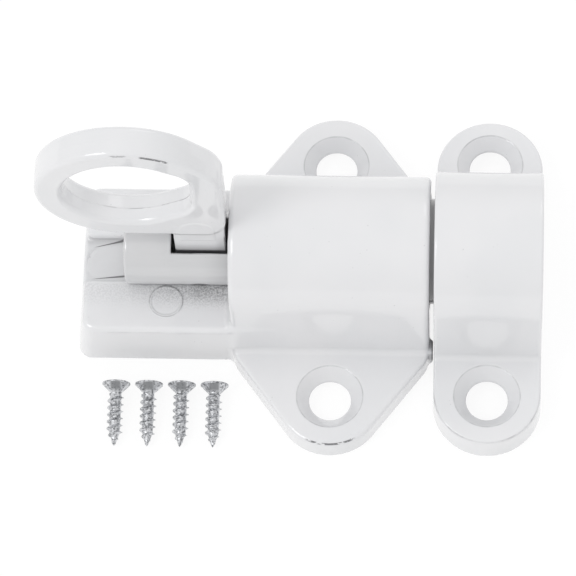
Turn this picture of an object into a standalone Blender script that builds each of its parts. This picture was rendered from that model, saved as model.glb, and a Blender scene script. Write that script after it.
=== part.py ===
"""Spring bolt latch with an upright pull ring, a keeper and four loose screws.

The latch lies on its mounting plane, Z = 0. The origin is in that plane, midway between the
housing's two screw holes, under the axis of the bolt. The bolt shoots along +X into the keeper
and is pulled back along -X by the ring. Y runs from one screw hole to the other.

Every size below is a real size in millimetres. The model is built in metres.
"""

import math

import bmesh
import bpy
from mathutils import Matrix, Vector

MM = 0.001

# General fits
GAP = 0.3                       # clearance between pieces that touch or are fitted together
SLIDE_CLEARANCE = 0.4           # radial clearance of the bolt in its bores

# Bolt
AXIS_HEIGHT = 15.4              # bolt axis above the mounting plane
NOSE_DIAMETER = 16.5
NOSE_SHOULDER_X = 7.5           # where the nose steps down to the rod
NOSE_PROJECTION = 11.0          # nose beyond the housing when shot
NOSE_LAND = 4.0                 # flat left at the tip above the slanted face
NOSE_EDGE = 0.6
ROD_DIAMETER = 11.4
ROD_END_X = -32.1
ROD_EDGE = 0.6
TRAVEL = 11.3                   # stroke of the bolt until the ring's foot meets its stop

# Housing
HOLE_SPACING = 40.0             # between the two screw holes of the housing, and of the keeper
HOLE_DIAMETER = 6.4
COUNTERSINK_DIAMETER = 10.4
HOUSING_LEFT_X = -15.6
HOUSING_RIGHT_X = 15.5
HOUSING_HALF_WIDTH = 11.6       # also the radius of its rounded top
HOUSING_EAR_THICKNESS = 4.1
HOUSING_EAR_END_RADIUS = 8.2    # round end of each ear, about its hole
EAR_ROOT_OVERHANG = 0.9         # how far the ear's root corner stands out of the side wall
HOUSING_FILLET = 2.6            # between side wall and ear
HOUSING_END_EDGE = 0.9
EAR_EDGE = 0.6
END_WALL = 4.0                  # wall that the rod passes through

# Tail of the housing, a block with a trough under the rod
TAIL_LENGTH = 24.1              # from the housing's end wall
TAIL_STAND_OUT = 0.8            # the tail stands out this far from the housing's sides
TAIL_DROP = 4.2                 # tail's top below the bolt axis
TAIL_EDGE = 0.8
TAIL_CORNER = 1.6               # upright corners at the tail's free end
TAIL_LAP = 1.0                  # run of the tail into the housing's end wall
TROUGH_HALF_WIDTH = 3.9
TROUGH_CLEARANCE = 0.5          # rod to the trough's floor
TROUGH_END_RECESS = 0.9         # the trough's end stands back from the tail's end
TROUGH_END_FALL = 2.6           # radius over which the trough's floor falls away at the end
TROUGH_EDGE = 0.8
GROOVE_DEPTH = 2.6              # guide groove for the ring's foot, below the trough's floor
EJECTOR_MARK_FROM_END = 13.9    # centre of the round mould mark on the near land of the tail
EJECTOR_MARK_FROM_SIDE = 5.1
EJECTOR_MARK_DIAMETER = 5.1
EJECTOR_MARK_HEIGHT = 0.15

# Keeper
KEEPER_GAP = 0.45               # between the housing's face and the keeper
KEEPER_WIDTH = 17.1
KEEPER_HALF_WIDTH = 12.4        # across the arch, also the radius of its top
KEEPER_EAR_THICKNESS = 5.2
KEEPER_EAR_REACH = 7.7          # ear beyond the hole's centre
KEEPER_FILLET = 2.5
KEEPER_END_EDGE = 0.9

# Pull ring
RING_RISE = 24.2                # ring's centre above the bolt axis
RING_OUTER_RADIUS = 14.0
RING_RIM_WIDTH = 4.3
RING_THICKNESS = 5.2
RING_EDGE = 0.8
HOLE_SIDE_ANGLE = 58.0          # where the finger hole leaves its circle for its straight side
HOLE_SIDE_CORNER = 1.6
STEM_STAND_OUT = 0.5            # stem's side beyond the round of the ring
STEM_TOP_ANGLE = 42.0           # where the outline leaves the round ring for the stem
STEM_TOP_CORNER = 2.2
HEEL_RADIUS = 3.5               # round corner under the stem, on the housing's side
LUG_INSET = 0.15                # the lug's right side stands in from the stem's
LUG_WIDTH = 8.0                 # along the bolt
LUG_AXIS_FROM_SIDE = 3.7        # arched head and cross pin from the lug's left side
LUG_THICKNESS = 5.4
LUG_EDGE = 0.3
LUG_ARCH_RISE = 14.8            # top of the lug's arched head above the bolt axis
LUG_ARCH_RADIUS = 2.8
LUG_SHOULDER = 1.0              # the lug reaches its full width this far below the arch's centre
FOOT_WIDTH = 3.4                # foot of the lug, along the bolt
SLOT_END_GAP = 0.65             # from the lug to the end of the rod's slot

# Cross pin through the rod and the lug
PIN_DIAMETER = 2.2
PIN_DROP = 2.6                  # pin axis below the bolt axis
PIN_SINK = 0.25                 # pin ends below the rod's surface

# Return spring
SPRING_WIRE = 0.9
SPRING_MEAN_DIAMETER = 14.2
SPRING_ACTIVE_TURNS = 4.0
SPRING_END_TURNS = 1.0          # closed turns at each end
SPRING_POINTS_PER_TURN = 20

# Screws
SCREW_COUNT = 4
SCREW_LENGTH = 10.25
SCREW_HEAD_DIAMETER = 4.4
SCREW_HEAD_RIM = 0.25
SCREW_CREST_DIAMETER = 2.6
SCREW_POINT_LENGTH = 2.2
SCREW_RECESS_WIDTH = 0.6
SCREW_RECESS_SPAN = 2.2
SCREW_RECESS_DEPTH = 0.7
SCREW_PITCH_X = 5.17            # spacing of the four screws in their row
SCREW_ROW_FROM_END = 5.95       # first screw's axis from the tail's free end
SCREW_STAND_OFF = 5.15          # screw heads from the tail's near side

EDGE_RESOLUTION = 1             # a rounded rim has this many rows of points between its ends
ROUND_SEGMENTS = 64
SMALL_SEGMENTS = 32
CUT_OVERRUN = 1.0               # how far a cutter runs past what it cuts
WELD = 0.000002                 # metres; closer points are one point
FLAT_ANGLE = 0.002              # radians; faces that meet flatter than this are one face

PART_COLLECTION = "spring_bolt_latch"
TOOL_COLLECTION = "cutters"

# Sizes that follow from the ones above
HOLE_Y = HOLE_SPACING / 2
ROD_RADIUS = ROD_DIAMETER / 2
NOSE_RADIUS = NOSE_DIAMETER / 2
NOSE_BORE_RADIUS = NOSE_RADIUS + SLIDE_CLEARANCE
ROD_BORE_RADIUS = ROD_RADIUS + SLIDE_CLEARANCE
NOSE_TIP_X = HOUSING_RIGHT_X + NOSE_PROJECTION
SPRING_SEAT_X = HOUSING_LEFT_X + END_WALL
TAIL_HALF_WIDTH = HOUSING_HALF_WIDTH + TAIL_STAND_OUT
TAIL_HEIGHT = AXIS_HEIGHT - TAIL_DROP
TAIL_END_X = HOUSING_LEFT_X - TAIL_LENGTH
TROUGH_FLOOR = AXIS_HEIGHT - ROD_RADIUS - TROUGH_CLEARANCE
EJECTOR_MARK_X = TAIL_END_X + EJECTOR_MARK_FROM_END
EJECTOR_MARK_Y = EJECTOR_MARK_FROM_SIDE - TAIL_HALF_WIDTH
KEEPER_LEFT_X = HOUSING_RIGHT_X + KEEPER_GAP
KEEPER_RIGHT_X = KEEPER_LEFT_X + KEEPER_WIDTH
KEEPER_CENTRE_X = (KEEPER_LEFT_X + KEEPER_RIGHT_X) / 2
STEM_RIGHT_X = HOUSING_LEFT_X - GAP
LUG_RIGHT_X = STEM_RIGHT_X - LUG_INSET
LUG_LEFT_X = LUG_RIGHT_X - LUG_WIDTH
LUG_AXIS_X = LUG_LEFT_X + LUG_AXIS_FROM_SIDE
RING_CENTRE_X = STEM_RIGHT_X - STEM_STAND_OUT - RING_OUTER_RADIUS
RING_CENTRE_Z = AXIS_HEIGHT + RING_RISE
RING_INNER_RADIUS = RING_OUTER_RADIUS - RING_RIM_WIDTH
RING_BOTTOM_Z = RING_CENTRE_Z - RING_OUTER_RADIUS
LUG_ARCH_CENTRE_Z = AXIS_HEIGHT + LUG_ARCH_RISE - LUG_ARCH_RADIUS
PIN_X = LUG_AXIS_X
PIN_Z = AXIS_HEIGHT - PIN_DROP
SLOT_HALF_WIDTH = LUG_THICKNESS / 2 + GAP
SLOT_LEFT_X = LUG_LEFT_X - SLOT_END_GAP
SLOT_RIGHT_X = HOUSING_LEFT_X
GROOVE_FLOOR = TROUGH_FLOOR - GROOVE_DEPTH
FOOT_BOTTOM_Z = GROOVE_FLOOR + GAP
FOOT_LEFT_X = LUG_RIGHT_X - FOOT_WIDTH
LUG_BOTTOM_Z = AXIS_HEIGHT - ROD_RADIUS + GAP
GROOVE_LEFT_X = FOOT_LEFT_X - TRAVEL - GAP
SCREW_FIRST_X = TAIL_END_X + SCREW_ROW_FROM_END
SCREW_HEAD_Y = -TAIL_HALF_WIDTH - SCREW_STAND_OFF


# Scene and object helpers

def clear_scene():
    """Remove every object that is in the scene."""
    for item in list(bpy.data.objects):
        bpy.data.objects.remove(item, do_unlink=True)


def make_collection(name):
    """Return the named collection, linked to the scene."""
    collection = bpy.data.collections.get(name)
    if collection is None:
        collection = bpy.data.collections.new(name)
        bpy.context.scene.collection.children.link(collection)
    return collection


def make_material(name, colour, roughness, metallic):
    """Return a Principled BSDF material."""
    material = bpy.data.materials.new(name)
    material.use_nodes = True
    shader = material.node_tree.nodes["Principled BSDF"]
    shader.inputs["Base Color"].default_value = (*colour, 1.0)
    shader.inputs["Roughness"].default_value = roughness
    shader.inputs["Metallic"].default_value = metallic
    material.diffuse_color = (*colour, 1.0)
    return material


def new_object(name, data, collection=PART_COLLECTION):
    """Link a new object to the named collection and return it."""
    item = bpy.data.objects.new(name, data)
    make_collection(collection).objects.link(item)
    return item


def hide_tool(item):
    """Mark an object as a cutter, which is drawn as wire and never rendered."""
    item.hide_render = True
    item.display_type = "WIRE"
    return item


def curve_to_mesh(item):
    """Replace a curve object by an equal mesh object with welded caps, placed as the curve was."""
    bpy.context.view_layer.update()
    evaluated = item.evaluated_get(bpy.context.evaluated_depsgraph_get())
    mesh = bpy.data.meshes.new_from_object(evaluated)
    shape = bmesh.new()
    shape.from_mesh(mesh)
    bmesh.ops.remove_doubles(shape, verts=shape.verts, dist=0.00001)
    bmesh.ops.recalc_face_normals(shape, faces=shape.faces)
    bmesh.ops.dissolve_limit(
        shape, angle_limit=FLAT_ANGLE, verts=shape.verts, edges=shape.edges)
    shape.to_mesh(mesh)
    shape.free()
    name = item.name
    collection = item.users_collection[0].name
    placement = item.matrix_world.copy()
    bpy.data.objects.remove(item, do_unlink=True)
    result = new_object(name, mesh, collection)
    result.matrix_world = placement
    return result


def outline_prism(name, outlines, plane, low, high, collection=PART_COLLECTION, edge=0.0):
    """Extrude closed outlines between two heights along the axis that stands on their plane.

    outlines is a list of point lists in millimetres; the ones inside another are holes.
    plane is "XY", "YZ" or "XZ": the outline's axes, and it is extruded along the third one.
    edge is the radius of the rounding all along the rims of both end faces.
    """
    curve = bpy.data.curves.new(name, "CURVE")
    curve.dimensions = "2D"
    curve.fill_mode = "BOTH"
    curve.extrude = ((high - low) / 2 - edge) * MM
    curve.bevel_depth = edge * MM
    curve.bevel_resolution = EDGE_RESOLUTION
    curve.offset = -edge * MM
    for outline in outlines:
        spline = curve.splines.new("POLY")
        spline.points.add(len(outline) - 1)
        for point, (across, up) in zip(spline.points, outline):
            point.co = (across * MM, up * MM, 0.0, 1.0)
        spline.use_cyclic_u = True
    item = new_object(name, curve, collection)
    middle = (low + high) / 2 * MM
    if plane == "XY":
        item.location = (0.0, 0.0, middle)
    elif plane == "YZ":
        item.rotation_euler = (math.pi / 2, 0.0, math.pi / 2)
        item.location = (middle, 0.0, 0.0)
    else:
        item.rotation_euler = (math.pi / 2, 0.0, 0.0)
        item.location = (0.0, middle, 0.0)
    result = curve_to_mesh(item)
    result.data.transform(result.matrix_world)
    result.matrix_world = Matrix.Identity(4)
    return result


def turned(name, profile, segments, collection=PART_COLLECTION):
    """Turn a profile about the local Z axis with a Screw modifier.

    profile holds (radius, height) points in millimetres from the top down the outer side.
    """
    mesh = bpy.data.meshes.new(name)
    points = [(radius * MM, 0.0, height * MM) for radius, height in profile]
    edges = [(index, index + 1) for index in range(len(points) - 1)]
    mesh.from_pydata(points, edges, [])
    item = new_object(name, mesh, collection)
    screw = item.modifiers.new("turn", "SCREW")
    screw.axis = "Z"
    screw.angle = 2 * math.pi
    screw.steps = segments
    screw.render_steps = segments
    screw.use_merge_vertices = True
    screw.merge_threshold = 0.00001
    return item


def rod_between(name, radius, start, end, segments=ROUND_SEGMENTS):
    """Return a cylinder cutter between two points in millimetres."""
    first = Vector(start) * MM
    last = Vector(end) * MM
    length = (last - first).length
    shape = bmesh.new()
    bmesh.ops.create_cone(
        shape, cap_ends=True, segments=segments, depth=length,
        radius1=radius * MM, radius2=radius * MM)
    turn = Vector((0.0, 0.0, 1.0)).rotation_difference((last - first).normalized())
    shape.transform(Matrix.Translation((first + last) / 2) @ turn.to_matrix().to_4x4())
    mesh = bpy.data.meshes.new(name)
    shape.to_mesh(mesh)
    shape.free()
    return hide_tool(new_object(name, mesh, TOOL_COLLECTION))


def block(name, low, high, collection=TOOL_COLLECTION):
    """Return a box between two corners in millimetres."""
    shape = bmesh.new()
    bmesh.ops.create_cube(shape, size=1.0)
    size = Vector(high) - Vector(low)
    centre = (Vector(high) + Vector(low)) / 2
    shape.transform(Matrix.Translation(centre * MM) @ Matrix.Diagonal((*(size * MM), 1.0)))
    mesh = bpy.data.meshes.new(name)
    shape.to_mesh(mesh)
    shape.free()
    item = new_object(name, mesh, collection)
    if collection == TOOL_COLLECTION:
        hide_tool(item)
    return item


def boolean(item, tool, operation):
    """Join, cut or intersect item with tool by an exact Boolean, and clean the result."""
    modifier = item.modifiers.new(tool.name, "BOOLEAN")
    modifier.operation = operation
    modifier.solver = "EXACT"
    modifier.object = tool
    bake(item)
    shape = bmesh.new()
    shape.from_mesh(item.data)
    bmesh.ops.remove_doubles(shape, verts=shape.verts, dist=WELD)
    bmesh.ops.dissolve_degenerate(shape, dist=WELD, edges=shape.edges)
    shape.to_mesh(item.data)
    shape.free()


def weighted_bevel(item, width, segments, is_chosen):
    """Bake the item's modifiers, then round the edges for which is_chosen(edge) is true."""
    bake(item)
    mesh = item.data
    shape = bmesh.new()
    shape.from_mesh(mesh)
    layer = shape.edges.layers.float.new("bevel_weight_edge")
    for edge in shape.edges:
        edge[layer] = 1.0 if is_chosen(edge) else 0.0
    shape.to_mesh(mesh)
    shape.free()
    modifier = item.modifiers.new("edges", "BEVEL")
    modifier.limit_method = "WEIGHT"
    modifier.width = width * MM
    modifier.segments = segments
    modifier.use_clamp_overlap = False
    return modifier


def bake(item):
    """Turn what the item's modifiers make into its own mesh."""
    bpy.context.view_layer.update()
    evaluated = item.evaluated_get(bpy.context.evaluated_depsgraph_get())
    mesh = bpy.data.meshes.new_from_object(evaluated)
    item.modifiers.clear()
    item.data = mesh


def finish(item, material):
    """Give an item its material and smooth shading."""
    bake(item)
    item.data.materials.clear()
    item.data.materials.append(material)
    item.data.shade_smooth()
    item.data.set_sharp_from_angle(angle=math.radians(35.0))
    return item


def hang_on(item, parent):
    """Parent an item and leave it where it is."""
    item.parent = parent
    item.matrix_parent_inverse = parent.matrix_world.inverted()


# Outline helpers, in millimetres

def arc(centre, radius, start, end, steps):
    """Return points on an arc from start to end degrees, both ends included."""
    points = []
    for step in range(steps + 1):
        angle = math.radians(start + (end - start) * step / steps)
        points.append((centre[0] + radius * math.cos(angle), centre[1] + radius * math.sin(angle)))
    return points


def mirrored(points):
    """Return the points mirrored in the second axis, in the reverse order."""
    return [(-first, second) for first, second in reversed(points)]


def tangent_angle(point, centre, radius, side):
    """Return the direction, in degrees from centre, of the tangent point seen from point.

    side is 1 for the tangent point counter-clockwise of the point's own direction, else -1.
    """
    away = math.atan2(point[1] - centre[1], point[0] - centre[0])
    distance = math.hypot(point[0] - centre[0], point[1] - centre[1])
    return math.degrees(away + side * math.acos(radius / distance))


def arch_section(half_width, ear_thickness, fillet, reach):
    """Return the section across an arched body with a flat ear on either side.

    The round top is centred on the bolt axis. The outline runs below the mounting plane, where
    the plan outline trims it.
    """
    right = [(reach, -CUT_OVERRUN), (reach, ear_thickness)]
    right += arc((half_width + fillet, ear_thickness + fillet), fillet, 270.0, 180.0, 6)
    top = arc((0.0, AXIS_HEIGHT), half_width, 0.0, 180.0, 40)
    return right + top + mirrored(right)


# Housing

def housing_plan():
    """Return the housing's outline from above: a rectangle with a tapered ear on each side."""
    root_y = HOUSING_HALF_WIDTH + EAR_ROOT_OVERHANG
    centre = (0.0, HOLE_Y)
    right_root = (HOUSING_RIGHT_X, root_y)
    left_root = (HOUSING_LEFT_X, root_y)
    start = tangent_angle(right_root, centre, HOUSING_EAR_END_RADIUS, 1)
    end = 360.0 + tangent_angle(left_root, centre, HOUSING_EAR_END_RADIUS, -1)
    far = [right_root, *arc(centre, HOUSING_EAR_END_RADIUS, start, end, 24), left_root]
    near = [(x, -y) for x, y in reversed(far)]
    return far + near


def make_housing(material):
    """Build the cast housing: arched body, two ears, end wall, and the tail with its trough."""
    reach = HOLE_Y + HOUSING_EAR_END_RADIUS + CUT_OVERRUN
    top = AXIS_HEIGHT + HOUSING_HALF_WIDTH
    section = arch_section(HOUSING_HALF_WIDTH, HOUSING_EAR_THICKNESS, HOUSING_FILLET, reach)
    housing = outline_prism(
        "housing", [section], "YZ", HOUSING_LEFT_X, HOUSING_RIGHT_X, edge=HOUSING_END_EDGE)
    plan = hide_tool(outline_prism(
        "housing_plan", [housing_plan()], "XY", 0.0, top + CUT_OVERRUN, TOOL_COLLECTION))
    boolean(housing, plan, "INTERSECT")
    round_ear_edges(housing, HOUSING_EAR_THICKNESS, HOUSING_HALF_WIDTH + HOUSING_FILLET)
    bake(housing)
    boolean(housing, make_tail(), "UNION")
    cut_trough(housing)
    cut_bores(housing)
    cut_screw_holes(housing, "housing", 0.0, HOUSING_EAR_THICKNESS)
    return finish(housing, material)


def round_ear_edges(item, thickness, inner_y):
    """Round the upper edge of both ears, beyond the fillet of the side wall."""
    height = thickness * MM
    limit = (inner_y - GAP) * MM
    tolerance = 0.01 * MM

    def on_rim(edge):
        at_height = all(abs(vertex.co.z - height) < tolerance for vertex in edge.verts)
        outside = all(abs(vertex.co.y) > limit for vertex in edge.verts)
        upright = any(abs(face.normal.z) < 0.1 for face in edge.link_faces)
        return at_height and outside and upright

    weighted_bevel(item, EAR_EDGE, 2, on_rim)


def make_tail():
    """Return the tail block, with rounded top edges and upright corners at its free end."""
    start = HOUSING_LEFT_X + TAIL_LAP
    corner_x = TAIL_END_X + TAIL_CORNER
    corner_y = TAIL_HALF_WIDTH - TAIL_CORNER
    far = [(start, TAIL_HALF_WIDTH)]
    far += arc((corner_x, corner_y), TAIL_CORNER, 90.0, 180.0, 6)
    outline = far + [(x, -y) for x, y in reversed(far)]
    tail = outline_prism("tail_block", [outline], "XY", 0.0, TAIL_HEIGHT, TOOL_COLLECTION)
    top = TAIL_HEIGHT * MM
    joint = (HOUSING_LEFT_X + TAIL_LAP / 2) * MM

    def on_top_rim(edge):
        at_top = all(abs(vertex.co.z - top) < 0.01 * MM for vertex in edge.verts)
        free = any(vertex.co.x < joint for vertex in edge.verts)
        upright = any(abs(face.normal.z) < 0.1 for face in edge.link_faces)
        return at_top and free and upright

    weighted_bevel(tail, TAIL_EDGE, 3, on_top_rim)
    hide_tool(tail)
    mark = rod_between(
        "ejector_mark", EJECTOR_MARK_DIAMETER / 2,
        (EJECTOR_MARK_X, EJECTOR_MARK_Y, TAIL_HEIGHT - CUT_OVERRUN),
        (EJECTOR_MARK_X, EJECTOR_MARK_Y, TAIL_HEIGHT + EJECTOR_MARK_HEIGHT), SMALL_SEGMENTS)
    boolean(tail, mark, "UNION")
    return tail


def cut_trough(housing):
    """Cut the trough under the rod, its fallen end, and the guide groove for the ring's foot."""
    end_x = TAIL_END_X + TROUGH_END_RECESS
    fall_x = end_x + TROUGH_END_FALL
    outline = [(HOUSING_LEFT_X, TROUGH_FLOOR)]
    outline += arc((fall_x, TROUGH_FLOOR - TROUGH_END_FALL), TROUGH_END_FALL, 90.0, 180.0, 6)
    outline += [
        (end_x, -CUT_OVERRUN),
        (TAIL_END_X - CUT_OVERRUN, -CUT_OVERRUN),
        (TAIL_END_X - CUT_OVERRUN, TAIL_HEIGHT + CUT_OVERRUN),
        (HOUSING_LEFT_X, TAIL_HEIGHT + CUT_OVERRUN),
    ]
    trough = outline_prism(
        "trough", [outline], "XZ", -TROUGH_HALF_WIDTH, TROUGH_HALF_WIDTH, TOOL_COLLECTION)
    hide_tool(trough)
    lowest = (TROUGH_FLOOR - TROUGH_END_FALL - GAP / 10) * MM
    highest = (TROUGH_FLOOR + GAP / 10) * MM
    side = (TROUGH_HALF_WIDTH - GAP / 10) * MM

    def on_floor_side(edge):
        lying = all(lowest < vertex.co.z < highest for vertex in edge.verts)
        aside = all(abs(vertex.co.y) > side for vertex in edge.verts)
        return lying and aside and edge.verts[0].co.y * edge.verts[1].co.y > 0.0

    weighted_bevel(trough, TROUGH_EDGE, 2, on_floor_side)
    boolean(housing, trough, "DIFFERENCE")
    groove = block(
        "guide_groove",
        (GROOVE_LEFT_X, -SLOT_HALF_WIDTH, GROOVE_FLOOR),
        (HOUSING_LEFT_X, SLOT_HALF_WIDTH, TAIL_HEIGHT))
    boolean(housing, groove, "DIFFERENCE")


def cut_bores(housing):
    """Cut the stepped bore: wide for the nose from the right, narrower for the rod."""
    profile = [
        (0.0, HOUSING_RIGHT_X + CUT_OVERRUN),
        (NOSE_BORE_RADIUS, HOUSING_RIGHT_X + CUT_OVERRUN),
        (NOSE_BORE_RADIUS, SPRING_SEAT_X),
        (ROD_BORE_RADIUS, SPRING_SEAT_X),
        (ROD_BORE_RADIUS, HOUSING_LEFT_X - CUT_OVERRUN),
        (0.0, HOUSING_LEFT_X - CUT_OVERRUN),
    ]
    bore = turned("housing_bore", profile, ROUND_SEGMENTS, TOOL_COLLECTION)
    bake(bore)
    bore.data.transform(lay_along_bolt())
    boolean(housing, hide_tool(bore), "DIFFERENCE")


def lay_along_bolt():
    """Return the matrix that lays a shape turned about Z along the bolt axis, up becoming +X."""
    raise_to_axis = Matrix.Translation((0.0, 0.0, AXIS_HEIGHT * MM))
    return raise_to_axis @ Matrix.Rotation(math.pi / 2, 4, "Y")


def cut_screw_holes(item, name, centre_x, thickness):
    """Cut a countersunk screw hole through each of an item's two ears."""
    hole = HOLE_DIAMETER / 2
    sink = COUNTERSINK_DIAMETER / 2 - hole
    profile = [
        (0.0, thickness + CUT_OVERRUN),
        (hole + sink + CUT_OVERRUN, thickness + CUT_OVERRUN),
        (hole, thickness - sink),
        (hole, -CUT_OVERRUN),
        (0.0, -CUT_OVERRUN),
    ]
    for side, label in ((-1.0, "near"), (1.0, "far")):
        cutter = turned(f"{name}_{label}_hole", profile, SMALL_SEGMENTS, TOOL_COLLECTION)
        bake(cutter)
        cutter.data.transform(Matrix.Translation(Vector((centre_x, side * HOLE_Y, 0.0)) * MM))
        boolean(item, hide_tool(cutter), "DIFFERENCE")


# Keeper

def make_keeper(material):
    """Build the keeper: an arch over the bolt's nose with a round ear on either side."""
    end_radius = KEEPER_WIDTH / 2
    end_y = HOLE_Y + KEEPER_EAR_REACH
    section = arch_section(
        KEEPER_HALF_WIDTH, KEEPER_EAR_THICKNESS, KEEPER_FILLET, end_y + CUT_OVERRUN)
    keeper = outline_prism(
        "keeper", [section], "YZ", KEEPER_LEFT_X, KEEPER_RIGHT_X, edge=KEEPER_END_EDGE)
    far = arc((KEEPER_CENTRE_X, end_y - end_radius), end_radius, 0.0, 180.0, 28)
    plan_outline = far + [(x, -y) for x, y in reversed(far)]
    top = AXIS_HEIGHT + KEEPER_HALF_WIDTH + CUT_OVERRUN
    plan = hide_tool(outline_prism(
        "keeper_plan", [plan_outline], "XY", 0.0, top, TOOL_COLLECTION))
    boolean(keeper, plan, "INTERSECT")
    bore = rod_between(
        "keeper_bore", NOSE_BORE_RADIUS,
        (KEEPER_LEFT_X - CUT_OVERRUN, 0.0, AXIS_HEIGHT),
        (KEEPER_RIGHT_X + CUT_OVERRUN, 0.0, AXIS_HEIGHT))
    boolean(keeper, bore, "DIFFERENCE")
    cut_screw_holes(keeper, "keeper", KEEPER_CENTRE_X, KEEPER_EAR_THICKNESS)
    return finish(keeper, material)


# Bolt

def make_bolt(material, parent):
    """Build the turned bolt: slotted rod, shoulder, and nose with its slanted face."""
    profile = [(0.0, NOSE_TIP_X)]
    profile += arc((NOSE_RADIUS - NOSE_EDGE, NOSE_TIP_X - NOSE_EDGE), NOSE_EDGE, 90.0, 0.0, 3)
    profile += [(NOSE_RADIUS, NOSE_SHOULDER_X), (ROD_RADIUS, NOSE_SHOULDER_X)]
    profile += arc((ROD_RADIUS - ROD_EDGE, ROD_END_X + ROD_EDGE), ROD_EDGE, 0.0, -90.0, 3)
    profile += [(0.0, ROD_END_X)]
    bolt = turned("bolt", profile, ROUND_SEGMENTS)
    bake(bolt)
    bolt.data.transform(lay_along_bolt())
    cut_nose_slant(bolt)
    slot = block(
        "lug_slot",
        (SLOT_LEFT_X, -SLOT_HALF_WIDTH, AXIS_HEIGHT - ROD_DIAMETER),
        (SLOT_RIGHT_X, SLOT_HALF_WIDTH, AXIS_HEIGHT + ROD_DIAMETER))
    boolean(bolt, slot, "DIFFERENCE")
    pin_hole = rod_between(
        "bolt_pin_hole", PIN_DIAMETER / 2 + GAP,
        (PIN_X, -ROD_DIAMETER, PIN_Z), (PIN_X, ROD_DIAMETER, PIN_Z), SMALL_SEGMENTS)
    boolean(bolt, pin_hole, "DIFFERENCE")
    finish(bolt, material)
    hang_on(bolt, parent)
    return bolt


def cut_nose_slant(bolt):
    """Cut the slanted face under the nose, which lets the keeper's edge push the bolt back."""
    low_z = AXIS_HEIGHT - NOSE_RADIUS
    high_z = AXIS_HEIGHT + NOSE_RADIUS - NOSE_LAND
    start_x = HOUSING_RIGHT_X + CUT_OVERRUN
    slope = (high_z - low_z) / (NOSE_TIP_X - start_x)
    wedge_outline = [
        (start_x - CUT_OVERRUN, low_z - slope * CUT_OVERRUN),
        (NOSE_TIP_X + CUT_OVERRUN, low_z - slope * CUT_OVERRUN),
        (NOSE_TIP_X + CUT_OVERRUN, high_z + slope * CUT_OVERRUN),
    ]
    wedge = outline_prism(
        "nose_slant", [wedge_outline], "XZ", -NOSE_DIAMETER, NOSE_DIAMETER, TOOL_COLLECTION)
    boolean(bolt, hide_tool(wedge), "DIFFERENCE")


# Pull ring

def tangent_corner(radius, side_x, angle, corner):
    """Return the rounded corner between a tangent of the ring's circle and an upright side.

    The tangent touches the circle of the given radius at angle degrees and runs down to side_x.
    """
    turn = math.radians(angle)
    reach = side_x - RING_CENTRE_X
    run = (reach - radius * math.cos(turn)) / math.sin(turn)
    corner_z = RING_CENTRE_Z + radius * math.sin(turn) - run * math.cos(turn)
    centre = (side_x - corner, corner_z - corner * math.tan(turn / 2))
    return arc(centre, corner, 0.0, angle, 4)


def ring_outline():
    """Return the pull ring's outer outline, without its lug.

    It is a round ring with a straight stem on its right. The outline runs straight from the
    lowest point of the round to the round corner under the stem.
    """
    centre = (RING_CENTRE_X, RING_CENTRE_Z)
    heel_centre = (STEM_RIGHT_X - HEEL_RADIUS, RING_BOTTOM_Z + HEEL_RADIUS)
    outline = tangent_corner(RING_OUTER_RADIUS, STEM_RIGHT_X, STEM_TOP_ANGLE, STEM_TOP_CORNER)
    outline += arc(centre, RING_OUTER_RADIUS, STEM_TOP_ANGLE, 270.0, 44)
    return outline + arc(heel_centre, HEEL_RADIUS, 270.0, 360.0, 8)


def finger_hole_outline():
    """Return the finger hole: round, with a straight side and two soft corners at the stem."""
    side_x = RING_CENTRE_X + RING_INNER_RADIUS
    top = tangent_corner(RING_INNER_RADIUS, side_x, HOLE_SIDE_ANGLE, HOLE_SIDE_CORNER)
    bottom = [(x, 2 * RING_CENTRE_Z - z) for x, z in reversed(top)]
    centre = (RING_CENTRE_X, RING_CENTRE_Z)
    around = arc(centre, RING_INNER_RADIUS, HOLE_SIDE_ANGLE, 360.0 - HOLE_SIDE_ANGLE, 44)
    return top + around + bottom


def lug_outline():
    """Return the outline of the lug: an arched head on the stem, straight sides and a foot.

    On the housing's side it runs up behind the stem's round corner.
    """
    shoulder_z = LUG_ARCH_CENTRE_Z - LUG_SHOULDER
    outline = [(LUG_RIGHT_X, FOOT_BOTTOM_Z), (LUG_RIGHT_X, RING_BOTTOM_Z + HEEL_RADIUS)]
    outline += arc((LUG_AXIS_X, LUG_ARCH_CENTRE_Z), LUG_ARCH_RADIUS, 0.0, 180.0, 16)
    outline += [
        (LUG_LEFT_X, shoulder_z),
        (LUG_LEFT_X, LUG_BOTTOM_Z),
        (FOOT_LEFT_X, LUG_BOTTOM_Z),
        (FOOT_LEFT_X, FOOT_BOTTOM_Z),
    ]
    return outline


def make_pull_ring(material, parent):
    """Build the cast pull ring with its stem, and the lug with its foot."""
    half = RING_THICKNESS / 2
    ring = outline_prism(
        "pull_ring", [ring_outline(), finger_hole_outline()], "XZ", -half, half, edge=RING_EDGE)
    lug_half = LUG_THICKNESS / 2
    lug = outline_prism(
        "lug", [lug_outline()], "XZ", -lug_half, lug_half, TOOL_COLLECTION, edge=LUG_EDGE)
    boolean(ring, hide_tool(lug), "UNION")
    pin_hole = rod_between(
        "lug_pin_hole", PIN_DIAMETER / 2 + GAP,
        (PIN_X, -LUG_THICKNESS, PIN_Z), (PIN_X, LUG_THICKNESS, PIN_Z), SMALL_SEGMENTS)
    boolean(ring, pin_hole, "DIFFERENCE")
    finish(ring, material)
    hang_on(ring, parent)
    return ring


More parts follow.
